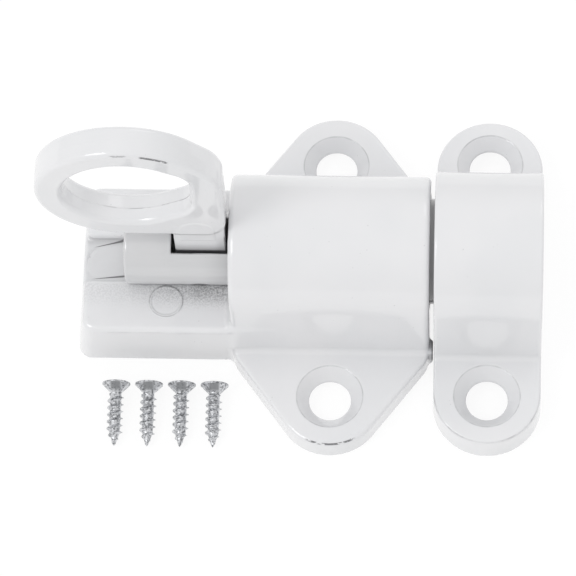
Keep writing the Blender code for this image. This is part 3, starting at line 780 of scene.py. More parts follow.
@dataclass(frozen=True)
class Housing(Eared):
    """The cast housing: an arched body, two tapered ears, and the tail with its trough."""

    left: float = -15.6
    right: float = 15.5
    half_width: float = 11.6
    side_draft: float = 0.055
    ear_thickness: float = 4.1
    ear_radius: float = 8.4
    ear_end: float = 28.4
    ear_root: float = 13.2
    ear_draft: float = 0.02
    ear_edge: float = 0.6
    fillet: float = 1.0
    end_edge: float = 0.9
    foot_left: float = 12.5
    foot_right: float = 16.0
    foot_y: Span = (9.9, 12.5)
    foot_edge: float = 0.5
    foot_fillet: float = 0.3
    hole_x: float = 0.0
    nose_bore: float = 8.65
    rod_bore: float = 6.1
    bore_edge: float = 0.35
    spring_seat: float = -11.6
    tail_end: float = -40.1
    tail_run: Span = (-17.5, -9.5)
    tail_run_in: float = 1.3
    tail_half_width: float = 12.4
    tail_height: float = 11.2
    tail_edge: float = 0.9
    tail_corner: float = 2.2
    end_draft: float = 0.1
    tail_fillet: float = 1.2
    small_edge: float = 0.4
    channel_radius: float = 5.8
    land_side: float = 3.7
    land_corner: float = 1.6
    land_foot: float = 9.9
    tongue_left: float = -38.6
    tongue_turn: float = 0.18
    tongue_widen: float = 0.065
    tongue_axis: float = -35.8
    tongue_half_width: float = 2.87
    tongue_corner: float = 2.4
    crevice_depth: float = 0.22
    crevice_width: float = 0.3
    groove_half_width: float = 3.0
    groove_floor: float = 6.6
    groove_left: float = -31.05
    groove_edge: float = 0.15
    mark: Point = (-25.8, -7.3, 2.5)
    mark_line: float = 0.12
    rod_cover: Span = (-31.5, -31.0)
    # Where the channel's painted shade starts, reaches across, and grows on the far wall.
    channel_start: Span = (-39.0, -38.3)
    channel_side: Span = (3.9, 4.2)
    channel_far: Span = (2.4, 3.6)
    # Where the rough patch and its painted shade lie, across and along the tail.
    sand_shade_near: Span = (-9.4, -5.4)
    sand_shade_far: Span = (-4.6, -4.2)
    sand_shade_along: Span = (-33.0, -18.0)
    # Where the crevice's painted shade line starts and widens.
    crevice_start: Span = (-38.0, -36.6)
    crevice_widens: Span = (-37.6, -32.5)
    chip_line: float = 0.32
    chip_x: float = 0.2
    chip_reach: Span = (2.9, 4.2)
    chip_y: Span = (-25.5, -25.0)
    grain: float = 0.33

    def plan(self) -> Solid:
        """Return the outline from above, wider at the mounting plane by the ears' draft.

        A large circle about the origin and the ear's end circle, joined by their common
        tangent, which passes the root corner where the ear leaves the body.
        """
        centre = self.ear_end - self.ear_radius
        rise, run = centre - self.ear_root, self.right
        lean = math.atan2(run, rise) - math.asin(self.ear_radius / math.hypot(rise, run))
        large = run * math.cos(lean) + self.ear_root * math.sin(lean)
        sine = (large - self.ear_radius) / centre
        cosine = math.sqrt(1.0 - sine * sine)

        @Solid
        def outline(x: Array, y: Array, z: Array) -> Array:
            """Return the distance to the circle or the tangent beside a point."""
            px, py = np.abs(x), np.abs(y)
            along = py * cosine - px * sine
            flat = px * cosine + py * sine - large
            end = np.hypot(px, py - centre) - self.ear_radius
            base = np.hypot(px, py) - large
            distance = np.where(along < 0.0, base, np.where(along > cosine * centre, end, flat))
            return distance + self.ear_draft * z
        return outline

    def end_wall(self) -> Solid:
        """Return everything on the inner side of the tail's leaning end."""
        return Solid(lambda x, y, z: self.tail_end - x + self.end_draft * z)

    def block(self) -> Solid:
        """Return the tail as a plain block with a leaning end and rounded rims and corners.

        Its sides run in under the arch's walls on an S-shaped way.
        """
        sides = Solid(lambda x, y, z: np.abs(y) - self.tail_half_width
                      + self.tail_run_in * smooth(x, *self.tail_run))
        walls = sides.meet(self.end_wall(), self.tail_corner)
        block = walls.meet(below(Axis.Z, self.tail_height), self.tail_edge)
        return block.meet(below(Axis.X, self.tail_run[1]))

    def strip(self, x: Array | Wire) -> tuple:
        """Return the middle and the half width of the tongue under the rod, at a place on X."""
        ahead = x - self.tongue_axis
        return self.tongue_turn * ahead, self.tongue_half_width + self.tongue_widen * ahead

    def tongue(self, x: Array, y: Array) -> Array:
        """Return the distance in plan from the outline of the tongue under the rod.

        The outline is a strip that stands a little askew, with a rounded free end: the distance
        from a box shrunk by the corners' radius, less that radius.

        Args:
            x: Places on X.
            y: Places on Y.

        Returns:
            The distances.
        """
        middle, half = self.strip(x)
        across = np.abs(y - middle) - half + self.tongue_corner
        along = self.tongue_left - x + self.tongue_corner
        outside = np.hypot(np.maximum(across, 0.0), np.maximum(along, 0.0))
        return outside + np.minimum(np.maximum(across, along), 0.0) - self.tongue_corner

    def tail(self) -> Solid:
        """Return the tail: two lands beside the rod, and a round channel between them.

        Above the lands' foot only the lands stand, with rounded inner corners. The channel is
        a cylinder on the bolt axis, deeper by a bell-shaped crevice along the tongue's outline.
        """
        @Solid
        def channel(x: Array, y: Array, z: Array) -> Array:
            """Return the distance to the channel's wall."""
            dip = self.crevice_depth * np.exp(-(self.tongue(x, y) / self.crevice_width) ** 2)
            return np.hypot(y, z - AXIS_HEIGHT) - self.channel_radius - dip
        lands = Solid(lambda x, y, z: self.land_side - np.abs(y)).meet(
            self.end_wall(), self.land_corner)
        upper = lands.join(below(Axis.Z, self.land_foot), self.small_edge)
        return self.block().meet(upper, self.small_edge).cut(channel, self.small_edge)

    def groove(self) -> Solid:
        """Return what the hidden guide groove for the ring's foot takes away."""
        sides = slab(Axis.Y, -self.groove_half_width, self.groove_half_width)
        return sides.meet(above(Axis.Z, self.groove_floor)).meet(
            slab(Axis.X, self.groove_left, self.left))

    def solid(self) -> Solid:
        """Return the whole casting."""
        plate = below(Axis.Z, self.ear_thickness)
        body = arched(self.half_width, self.side_draft).join(plate, self.fillet)
        body = body.meet(self.plan(), self.ear_edge)
        body = body.meet(slab(Axis.X, self.left, self.right), self.end_edge)
        low, high = self.foot_y
        foot = Solid(lambda x, y, z: np.abs(np.abs(y) - (low + high) / 2) - (high - low) / 2)
        foot = foot.meet(slab(Axis.X, self.foot_left, self.foot_right), self.foot_edge)
        body = body.join(foot.meet(plate, self.small_edge), self.foot_fillet)
        body = body.join(self.tail(), self.tail_fillet).cut(self.groove(), self.groove_edge)
        bores = (self.nose_bore, self.spring_seat), (self.rod_bore, self.left - 0.5)
        for radius, start in bores:
            bore = rod(Axis.X, BOLT_AXIS, radius).meet(above(Axis.X, start))
            body = body.cut(bore, self.bore_edge)
        return self.drilled(body)

    def top(self, z: Wire, low: float, high: float) -> Wire:
        """Return 1 on the tail's top and 0 further down, between two depths below it."""
        return z.rise(self.tail_height - low, self.tail_height - high)

    def wear_and_shade(self, graph: Graph) -> Wire:
        """Return worn rims and mark, and painted shade on the rough patch and in the channel."""
        x, y, z = graph.split()
        mark_x, mark_y, radius = self.mark
        ring = abs(graph.length(x - mark_x, y - mark_y) - radius - self.mark_line)
        ring = ring.fall(0.04, 0.15) * self.top(z, 0.6, 0.3)
        ring = ring * graph.noise(0.6, 2.0).rise(0.25, 0.55)
        # Painted shade: the rough patch under the rod's near side is greyed, most by the end
        # wall.
        sand_and_shade = self.sand_and_shade(graph) * (0.35 + graph.noise(3.4, 2.0).rise(0.42, 0.60))
        # Painted shade: the channel under the ring and the rod is greyed, its far wall more.
        channel = (1.0 - self.top(z, 0.9, 0.5)) * x.fall(*self.rod_cover)
        channel = channel * x.rise(*self.channel_start) * abs(y).fall(*self.channel_side)
        channel = channel * (0.35 + y.rise(*self.channel_far) * 0.35)
        return self.worn_rims(graph) + ring * 0.9 + sand_and_shade * 0.95 + channel

    def sand_and_shade(self, graph: Graph) -> Wire:
        """Return the rough patch with painted shade under the rod's near side, most to the right.
        """
        x, y, z = graph.split()
        band = y.rise(*self.sand_shade_near) * y.fall(*self.sand_shade_far)
        along = 0.30 + x.rise(*self.sand_shade_along) * 0.70
        return band * along * self.top(z, 0.5, 0.2) * x.fall(self.left - 0.3, self.left)

    def crevice(self, graph: Graph) -> Wire:
        """Return the painted shade line along both sides of the tongue, wider towards the rod."""
        x, y, z = graph.split()
        middle, half = self.strip(x)
        away = abs(abs(y - middle) - half)
        width = 0.04 + x.rise(*self.crevice_widens) * 0.12
        line = (away / width).fall(0.7, 1.4) * x.rise(*self.crevice_start)
        return line * (1.0 - self.top(z, 0.4, 0.1)) * x.fall(*self.rod_cover)

    def chips_and_shade(self, graph: Graph) -> Wire:
        """Return where the paint goes dark, to metal and by painted shade.

        Flaking round the near ear's free end; painted shade in the crevice and on the feet by the
        keeper.
        """
        x, y, z = graph.split()
        radius = graph.length(x, y + (self.ear_end - self.ear_radius))
        edge = abs(radius - (self.ear_radius - self.chip_line)).fall(0.07, 0.18)
        edge = edge * z.rise(self.ear_thickness - 0.9, self.ear_thickness - 0.6)
        where = abs(x - self.chip_x).fall(*self.chip_reach) * y.fall(*self.chip_y)
        spots = graph.noise(1.3, 3.0, (1.0, 2.2, 1.0)).rise(0.42, 0.50)
        # Painted shade: the feet's faces in the narrow gap to the keeper are darkened.
        feet = x.rise(self.foot_right - 0.3, self.foot_right - 0.05)
        return edge * where * spots + self.crevice(graph) + feet * 0.8

    def relief(self, graph: Graph) -> Wire:
        """Return the height of the round mould mark and of the rough patch."""
        x, y, z = graph.split()
        mark_x, mark_y, radius = self.mark
        away = graph.length(x - mark_x, y - mark_y)
        ridge = abs(away - radius).fall(0.0, 0.38) * 0.14
        disc = away.fall(radius - 0.2, radius + 0.2) * 0.03
        sand_and_shade = self.sand_and_shade(graph) * graph.noise(2.1, 2.0)
        return (ridge + disc) * self.top(z, 0.6, 0.3) + sand_and_shade * 0.30

    def build(self, paint: GlossPaint) -> None:
        """Build and dress the housing."""
        box = ((self.tail_end, -self.ear_end, 0.0),
               (self.right, self.ear_end, AXIS_HEIGHT + self.half_width))
        material = paint.material("housing_paint", self.wear_and_shade, self.chips_and_shade, self.relief)
        build_casting("housing_casting", self.solid().uneven(UNEVENNESS, 0.4), self.grain, box,
                      material, Body.LATCH, "housing")


@dataclass(frozen=True)
class Keeper(Eared):
    """The cast keeper: an arch over the bolt's nose with a round ear on either side."""

    left: float = 16.1
    right: float = 33.1
    half_width: float = 12.4
    side_draft: float = 0.10
    ear_thickness: float = 5.2
    ear_end: float = 27.85
    ear_shift: float = 0.25
    fillet: float = 0.9
    edge: float = 0.4
    draft: float = 0.02
    bore: float = 8.65
    worn_line: float = 0.25
    worn_y: Span = (-21.0, -19.0)
    grain: float = 0.28

    @property
    def hole_x(self) -> float:
        """Return the place of the keeper's middle and its holes on X."""
        return (self.left + self.right) / 2.0

    @property
    def radius(self) -> float:
        """Return the radius of the ears' round ends."""
        return (self.right - self.left) / 2.0

    def plan(self) -> Solid:
        """Return the outline from above: straight sides with round ends, narrower upwards.

        As cast it lies a little towards the near side. The ears alone are drafted.
        """
        @Solid
        def outline(x: Array, y: Array, z: Array) -> Array:
            """Return the distance to the side or the round end beside a point."""
            beyond = np.abs(y + self.ear_shift) - (self.ear_end - self.radius)
            rise = np.minimum(z, self.ear_thickness)
            away = np.hypot(x - self.hole_x, np.maximum(beyond, 0.0))
            return away - self.radius + self.draft * rise
        return outline

    def solid(self) -> Solid:
        """Return the whole casting."""
        plate = below(Axis.Z, self.ear_thickness)
        body = arched(self.half_width, self.side_draft).join(plate, self.fillet)
        body = body.meet(self.plan(), self.edge)
        return self.drilled(body.cut(rod(Axis.X, BOLT_AXIS, self.bore), self.edge))

    def wear_and_shade(self, graph: Graph) -> Wire:
        """Return where the paint is worn: round the holes and thinly round the near ear."""
        x, y, z = graph.split()
        away = graph.length(x - self.hole_x, y + (self.ear_end + self.ear_shift - self.radius))
        edge = abs(away - (self.radius - self.worn_line)).fall(0.05, 0.16)
        edge = edge * z.rise(self.ear_thickness - 0.4, self.ear_thickness - 0.2)
        near = y.fall(*self.worn_y) * (0.3 + graph.noise(0.5, 3.0).rise(0.36, 0.60) * 0.7)
        return self.worn_rims(graph) + edge * near * 0.8

    def build(self, paint: GlossPaint) -> None:
        """Build and dress the keeper."""
        box = ((self.left, -self.ear_end, 0.0),
               (self.right, self.ear_end, AXIS_HEIGHT + self.half_width))
        build_casting("keeper_casting", self.solid().uneven(UNEVENNESS, 1.9), self.grain, box,
                      paint.material("keeper_paint", self.wear_and_shade), Body.LATCH, "keeper")


@dataclass(frozen=True)
class PullRing:
    """The cast pull ring: a round ring, a straight stem on its right, and the lug below."""

    centre_x: float = -30.4
    centre_z: float = 39.6
    radius: float = 14.0
    hole_radius: float = 9.55
    hole_draft: float = 0.09
    half_thickness: float = 2.6
    edge: float = 0.85
    draft: float = 0.03
    stem_right: float = -15.75
    shoulder_angle: float = 42.0
    shoulder: float = 2.2
    heel: float = 3.5
    side_angle: float = 58.0
    side_corner: float = 1.6
    lug_left: float = -24.05
    lug_right: float = -16.05
    lug_half_thickness: float = 2.42
    arch_x: float = -20.35
    arch_z: float = 27.4
    arch_radius: float = 2.8
    arch_stand_out: float = 0.26
    arch_fade: Span = (23.5, 27.6)
    lug_bottom: float = 10.0
    foot_left: float = -19.45
    lug_edge: float = 0.3
    head_fillet: float = 0.2
    head_sunk: float = 0.05
    foot_bottom: float = 6.9
    foot_overlap: float = 2.0
    parting_y: float = -0.15
    parting_start: Span = (-37.0, -31.0)
    crown: Span = (50.0, 50.5)
    heavy_chips_x: float = -25.4
    light_chips_x: float = -30.7
    # Where the lug's painted shade rises out of the slot and spreads from its right side.
    lug_shade_top: Span = (19.6, 23.5)
    side_shade_x: Span = (-18.2, -16.2)
    side_shade_top: Span = (22.0, 26.5)
    # Where the painted shade at the lug's root starts, low in the slot and by the housing.
    root_top: Span = (19.75, 20.15)
    root_side_x: Span = (-16.35, -16.15)
    root_side_top: Span = (24.0, 25.5)
    grain: float = 0.2

    def tangent(self, radius: float, angle: float) -> Solid:
        """Return all on the inner side of a tangent to a circle about the ring's centre."""
        cosine, sine = math.cos(math.radians(angle)), math.sin(math.radians(angle))
        return Solid(lambda x, y, z: (x - self.centre_x) * cosine
                     + (z - self.centre_z) * sine - radius)

    def wedge(self, low: float, high: float) -> Solid:
        """Return all between two directions from the ring's centre, given in degrees."""
        return self.tangent(0.0, high + 90.0).meet(self.tangent(0.0, low - 90.0))

    def outline(self) -> Solid:
        """Return the ring without its hole, endless across.

        The round of the ring joined to the stem, which lies under a tangent of that round, left
        of its straight side and above the ring's lowest point.
        """
        stem = below(Axis.X, self.stem_right).meet(
            self.tangent(self.radius, self.shoulder_angle), self.shoulder)
        stem = stem.meet(above(Axis.Z, self.centre_z - self.radius), self.heel)
        stem = stem.meet(self.wedge(-90.0, self.shoulder_angle))
        return rod(Axis.Y, (self.centre_x, self.centre_z), self.radius).join(stem)

    def hole(self) -> Solid:
        """Return what the finger hole takes away: round, with a straight side at the stem.

        It narrows to the middle of the thickness, where the two halves of the mould met.
        """
        radius = self.hole_radius
        side = below(Axis.X, self.centre_x + radius)
        for angle in (self.side_angle, -self.side_angle):
            side = side.meet(self.tangent(radius, angle), self.side_corner)
        side = side.meet(self.wedge(-self.side_angle, self.side_angle))
        whole = rod(Axis.Y, (self.centre_x, self.centre_z), radius).join(side)
        return Solid(lambda x, y, z: whole.at(x, y, z) - self.hole_draft * np.abs(y))

    def lug(self) -> Solid:
        """Return the lug: a blade with a foot, and an arched head that stands out of it.

        The head is a disc and the stretch below it, and sinks into the blade further down.
        """
        blade = slab(Axis.X, self.lug_left, self.lug_right).meet(
            slab(Axis.Z, self.lug_bottom, self.centre_z - self.radius + self.heel),
            self.lug_edge)
        foot = slab(Axis.X, self.foot_left, self.lug_right).meet(
            slab(Axis.Z, self.foot_bottom, self.lug_bottom + self.foot_overlap), self.lug_edge)
        half = self.lug_half_thickness
        blade = blade.join(foot, self.lug_edge).meet(slab(Axis.Y, -half, half), self.lug_edge)
        low = self.arch_fade[0]
        face = Solid(lambda x, y, z: np.abs(y) - half + self.head_sunk
                     - self.arch_stand_out * smooth(z, *self.arch_fade))
        disc = rod(Axis.Y, (self.arch_x, self.arch_z), self.arch_radius)
        under = slab(Axis.X, self.arch_x - self.arch_radius, self.arch_x + self.arch_radius)
        head = disc.join(under.meet(slab(Axis.Z, low, self.arch_z)))
        return blade.join(head.meet(face, self.lug_edge), self.head_fillet)

    def solid(self) -> Solid:
        """Return the whole casting."""
        outer = self.outline()
        leaning = Solid(lambda x, y, z: outer.at(x, y, z) + self.draft * np.abs(y))
        thickness = slab(Axis.Y, -self.half_thickness, self.half_thickness)
        ring = leaning.cut(self.hole()).meet(thickness, self.edge)
        return ring.join(self.lug(), self.lug_edge)

    def away(self, graph: Graph) -> Wire:
        """Return the distance from the ring's axis."""
        x, _, z = graph.split()
        return graph.length(x - self.centre_x, z - self.centre_z)

    def parting(self, graph: Graph, low: float, high: float) -> Wire:
        """Return 1 on the parting line in the finger hole, and 0 beside it."""
        inside = self.away(graph).fall(self.hole_radius + 1.4, self.hole_radius + 1.7)
        return abs(graph.split()[1] - self.parting_y).fall(low, high) * inside

    def wear_and_shade(self, graph: Graph) -> Wire:
        """Return the worn parting line in the hole, and painted shade on the lug in the slot."""
        x, _, z = graph.split()
        line = self.parting(graph, 0.02, 0.10)
        line = line * (0.2 + graph.noise(0.35, 2.0).rise(0.42, 0.60) * 1.1)
        # Painted shade: the lug darkens low in the rod's slot and at its right side by the
        # housing.
        side = x.rise(*self.side_shade_x) * z.fall(*self.side_shade_top)
        shade = z.fall(*self.lug_shade_top) * 0.45 + side * 0.6
        return line * x.rise(*self.parting_start) + shade

    def chips_and_shade(self, graph: Graph) -> Wire:
        """Return flaking on the top's front edge, and painted shade at the lug's root in the
        slot.
        """
        x, y, z = graph.split()
        edge = abs(self.away(graph) - self.radius + 0.5).fall(0.10, 0.24)
        edge = edge * abs(y + (self.half_thickness - 0.1)).fall(0.05, 0.16)
        spots = graph.noise(1.3, 3.0, (1.0, 3.0, 3.0))
        heavy = abs(x - self.heavy_chips_x).fall(1.7, 2.3) * spots.rise(0.33, 0.42)
        light = abs(x - self.light_chips_x).fall(0.9, 1.5) * spots.rise(0.42, 0.55) * 0.5
        # Painted shade: the lug's root deep in the slot and its right side get the dark colour.
        side = x.rise(*self.root_side_x) * z.fall(*self.root_side_top)
        root = z.fall(*self.root_top).work("MAXIMUM", side)
        return edge * z.rise(*self.crown) * (heavy + light) + root

    def relief(self, graph: Graph) -> Wire:
        """Return the height of the parting line's low ridge."""
        return self.parting(graph, 0.0, 0.22) * 0.05

    def build(self, paint: GlossPaint) -> None:
        """Build and dress the pull ring."""
        box = ((self.centre_x - self.radius, -self.half_thickness, self.foot_bottom),
               (self.stem_right, self.half_thickness, self.centre_z + self.radius))
        material = paint.material("ring_paint", self.wear_and_shade, self.chips_and_shade, self.relief)
        build_casting("pull_ring_casting", self.solid().uneven(UNEVENNESS, 3.3), self.grain, box,
                      material, Body.BOLT, "pull_ring")


@dataclass(frozen=True)
class SlidingBolt:
    """The turned bolt: a slotted rod, a shoulder, and a nose with a slanted face below."""

    nose_radius: float = 8.25
    nose_left: float = 7.5
    nose_tip: float = 26.5
    nose_land: float = 4.0
    nose_edge: float = 0.6
    slant_start: float = 16.5
    slant_edge: float = 0.4
    rod_radius: float = 5.7
    rod_end: float = -32.1
    rod_edge: float = 0.45
    slot_left: float = -24.7
    slot_right: float = -15.6
    slot_half_width: float = 3.0
    slot_edge: float = 0.2
    pin_hole: float = 1.4
    pin_edge: float = 0.1
    # Where painted shade lies on the rod by the end wall and on the nose in the keeper's gap.
    rod_shade: Span = (-20.5, -15.8)
    rod_shade_end: Span = (-15.6, -14.0)
    nose_shade: Span = (14.0, 15.4)
    nose_shade_y: Span = (-8.0, 5.0)
    grain: float = 0.25

    def solid(self) -> Solid:
        """Return the whole bolt.

        The nose and the rod, less all below a plane that slants up to the tip, the ring's slot
        and the pin's hole.
        """
        nose = rod(Axis.X, BOLT_AXIS, self.nose_radius).meet(
            slab(Axis.X, self.nose_left, self.nose_tip), self.nose_edge)
        slim = rod(Axis.X, BOLT_AXIS, self.rod_radius).meet(
            slab(Axis.X, self.rod_end, self.nose_left + 2.0), self.rod_edge)
        low = AXIS_HEIGHT - self.nose_radius
        high = AXIS_HEIGHT + self.nose_radius - self.nose_land
        rise, run = high - low, self.nose_tip - self.slant_start
        length = math.hypot(rise, run)
        slant = Solid(
            lambda x, y, z: ((z - low) * run - (x - self.slant_start) * rise) / length)
        slot = slab(Axis.Y, -self.slot_half_width, self.slot_half_width).meet(
            slab(Axis.X, self.slot_left, self.slot_right))
        pin = rod(Axis.Y, PIN_PLACE, self.pin_hole)
        body = nose.join(slim).cut(slant, self.slant_edge)
        return body.cut(slot, self.slot_edge).cut(pin, self.pin_edge)

    def wear_and_shade(self, graph: Graph) -> Wire:
        """Return the bolt's painted shade: by the end wall, and before the keeper on its near
        side.
        """
        x, y, _ = graph.split()
        # Painted shade on the rod by the housing's end wall, and on the nose in the gap.
        by_wall = x.rise(*self.rod_shade) * x.fall(*self.rod_shade_end) * 0.35
        return by_wall + x.rise(*self.nose_shade) * y.fall(*self.nose_shade_y)

    def build(self, paint: GlossPaint) -> None:
        """Build and dress the bolt."""
        box = ((self.rod_end, -self.nose_radius, AXIS_HEIGHT - self.nose_radius),
               (self.nose_tip, self.nose_radius, AXIS_HEIGHT + self.nose_radius))
        material = paint.material("bolt_paint", self.wear_and_shade)
        build_casting("bolt_turned", self.solid().uneven(UNEVENNESS, 5.0), self.grain, box,
                      material, Body.BOLT, "bolt")


# Turned, wound and threaded pieces

@dataclass(frozen=True)
class CrossPin:
    """The pin that holds the ring's lug in the rod's slot."""

    radius: float = 1.1
    half_length: float = 4.1
    edge: float = 0.22
    around: int = 48

    def build(self, finish: Steel) -> None:
        """Build and dress the pin: a rounded profile turned about its axis, along Y."""
        turn = np.linspace(0.0, math.pi / 2.0, 7)
        corner = self.radius - self.edge + self.edge * np.sin(turn)
        lip = self.half_length - self.edge + self.edge * np.cos(turn)
        radius = np.concatenate([[1e-4], corner, corner[::-1], [1e-4]])
        along = np.concatenate([[self.half_length], lip, -lip[::-1], [-self.half_length]])
        angle = np.linspace(0.0, 2.0 * math.pi, self.around, endpoint=False)
        x = PIN_PLACE[0] + radius[:, None] * np.cos(angle)
        z = PIN_PLACE[1] + radius[:, None] * np.sin(angle)
        y = np.broadcast_to(along[:, None], x.shape)
        points = np.stack([x, y, z], -1).reshape(-1, 3)
        mesh = closed_grid("ring_pin_turned", points, self.around)
        material = finish.material("pin_steel", (1.0, 9.0, 1.0))
        place_piece("ring_pin_turned", mesh, material, Body.BOLT, "ring_pin")


@dataclass(frozen=True)
class ReturnSpring:
    """The compression spring round the rod, closed at both ends."""

    first_x: float = -10.85
    last_x: float = 6.75
    wire: float = 0.9
    mean_radius: float = 7.1
    closed_turns: float = 1.0
    active_turns: float = 4.0
    closed_pitch: float = 1.0
    steps_a_turn: int = 72
    around: int = 14
    travel: float = 11.3
    fixed_x: float = -11.3

    def build(self, finish: Steel) -> None:
        """Build and dress the spring.

        The wire's middle winds round the bolt axis. It advances by its own thickness a turn at
        the closed ends and evenly between them. A circle is carried along it, across its way.
        """
        turns = 2.0 * self.closed_turns + self.active_turns
        turn = np.linspace(0.0, turns, int(turns * self.steps_a_turn) + 1)
        closed = self.closed_pitch * self.closed_turns
        free = self.last_x - self.first_x - 2.0 * closed
        knots = [0.0, self.closed_turns, turns - self.closed_turns, turns]
        x = self.first_x + np.interp(turn, knots, [0.0, closed, closed + free, 2 * closed + free])
        angle = 2.0 * math.pi * turn
        out = np.stack([np.zeros_like(turn), np.cos(angle), np.sin(angle)], 1)
        middle = np.stack([x, np.zeros_like(x), np.full_like(x, AXIS_HEIGHT)], 1)
        middle = middle + self.mean_radius * out
        way = np.gradient(middle, axis=0)
        way /= np.linalg.norm(way, axis=1)[:, None]
        side = np.cross(way, out)
        round_wire = np.linspace(0.0, 2.0 * math.pi, self.around, endpoint=False)
        ring = (np.cos(round_wire)[None, :, None] * out[:, None]
                + np.sin(round_wire)[None, :, None] * side[:, None])
        points = (middle[:, None] + self.wire / 2.0 * ring).reshape(-1, 3)
        mesh = closed_grid("return_spring_wound", points, self.around)
        material = finish.material("spring_steel", (4.0, 1.0, 1.0))
        piece = place_piece("return_spring_wound", mesh, material, Body.LATCH,
                            "return_spring")
        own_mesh(piece)


@dataclass(frozen=True)
class LooseScrews:
    """Four countersunk wood screws with a cross recess, lying beside the tail."""

    count: int = 4
    length: float = 10.25
    head_radius: float = 2.2
    head_rim: float = 0.25
    crest_radius: float = 1.3
    core_radius: float = 0.86
    ridge_width: float = 0.21
    ridge_power: float = 1.3
    thread_end: Span = (8.2, 8.6)
    neck: float = 2.1
    pitch: float = 1.13
    point: float = 2.2
    recess_width: float = 0.55
    recess_span: float = 2.3
    recess_depth: float = 0.75
    recess_wall: float = 0.14
    crown: float = 0.02
    first_x: float = -33.75
    spacing: float = 5.17
    head_y: float = -17.55
    first_spin: float = 0.35
    next_spin: float = 0.9
    around: int = 72

    def profile(self) -> tuple[Array, Array]:
        """Return the core's radius and height along the screw, from its tip to its head's top."""
        height = np.concatenate([
            np.linspace(0.0, self.length - self.neck, 150),
            np.linspace(self.length - self.neck + 0.05, self.length - self.head_rim, 16),
            np.linspace(self.length - self.head_rim * 0.8, self.length - 0.04, 4)])
        under = self.length - self.head_rim
        core = np.interp(height, [0.0, 0.25, self.point, self.length],
                         [0.03, 0.22, self.core_radius, self.core_radius + 0.04])
        cone = self.head_radius - self.core_radius
        flare = self.head_radius - np.minimum(under - height, cone)
        radius = np.where(height < under - cone, core, flare)
        return np.where(height >= under - 1e-6, self.head_radius, radius), height

    def points(self) -> Array:
        """Return one screw upright on its tip, row by row from the tip to the head's middle.

        The thread adds a sharp ridge to the core, highest where the height less the turn times
        the pitch is a whole number of pitches, and fading out at the tip and under the head.
        The head's flat top sinks in a cross, with walls that lean a little.
        """
        radius, height = self.profile()
        turn = np.linspace(0.0, 1.0, self.around, endpoint=False)
        angle = 2.0 * math.pi * turn
        phase = (height[:, None] / self.pitch - turn + 0.5) % 1.0 - 0.5
        ridge = np.clip(1.0 - np.abs(phase) / self.ridge_width, 0.0, 1.0) ** self.ridge_power
        depth = np.interp(height, [0.0, 0.5, self.point, *self.thread_end, self.length],
                          [0.0, 0.16, 1.0, 1.0, 0.0, 0.0])
        tall = (self.crest_radius - self.core_radius) * depth[:, None]
        side = radius[:, None] + tall * ridge
        rows = [np.stack([side * np.cos(angle), side * np.sin(angle),
                          np.broadcast_to(height[:, None], side.shape)], -1)]
        inward = np.linspace(1.0, 0.0, 30)[:, None] * (self.head_radius - 0.05)
        x, y = inward * np.cos(angle), inward * np.sin(angle)
        arm = np.minimum(np.abs(x), np.abs(y)) - self.recess_width / 2.0
        end = np.maximum(np.abs(x), np.abs(y)) - self.recess_span / 2.0
        inside = np.clip(-np.maximum(arm, end) / self.recess_wall, 0.0, 1.0)
        crown = self.crown * (1.0 - (inward / self.head_radius) ** 2)
        z = self.length - self.crown + crown - self.recess_depth * inside
        rows.append(np.stack([x, y, z], -1))
        return np.concatenate(rows)

    def shade(self, graph: Graph) -> Wire:
        """Return a painted reflection in the middle of a screw's head cone, and its dark head
        rim.

        The place across a screw is that on X less the nearest screw's.
        """
        x, y, _ = graph.split()
        across = (x - (self.first_x - self.spacing / 2)).work("FLOORED_MODULO", self.spacing)
        across = abs(across - self.spacing / 2)
        below_head = self.head_y - y
        # Painted reflection: the middle of each head's cone is darkened.
        cone = below_head.rise(0.35, 0.6) * below_head.fall(1.2, 1.6) * across.fall(0.6, 1.0)
        rim = below_head.fall(0.16, 0.26) * across.rise(0.5, 0.8)
        return cone.work("MAXIMUM", rim) * 0.8

    def build(self, finish: ZincPlate) -> None:
        """Build and dress the screws, each resting on its head's rim and its thread."""
        upright = self.points()
        rest = self.length - self.head_rim - self.point
        tilt = math.atan2(self.head_radius - self.crest_radius, rest)
        rim = self.length - self.head_rim
        lift = self.head_radius * math.cos(tilt) - rim * math.sin(tilt)
        material = finish.material("zinc_plate", self.shade)
        for number in range(self.count):
            spin = Matrix.Rotation(self.first_spin + self.next_spin * number, 3, "Z")
            lay = np.array(Matrix.Rotation(tilt - math.pi / 2.0, 3, "X") @ spin)
            place = np.array([self.first_x + number * self.spacing,
                              self.head_y - self.length * math.cos(tilt), lift])
            points = upright.reshape(-1, 3) @ lay.T + place
            node = f"screw_{number + 1}"
            low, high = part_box(node)
            points = np.clip(points, np.array(low) / MM, np.array(high) / MM)
            mesh = closed_grid(f"{node}_threaded", points, self.around)
            place_piece(f"{node}_threaded", mesh, material, Body.LATCH, node)


# Studio

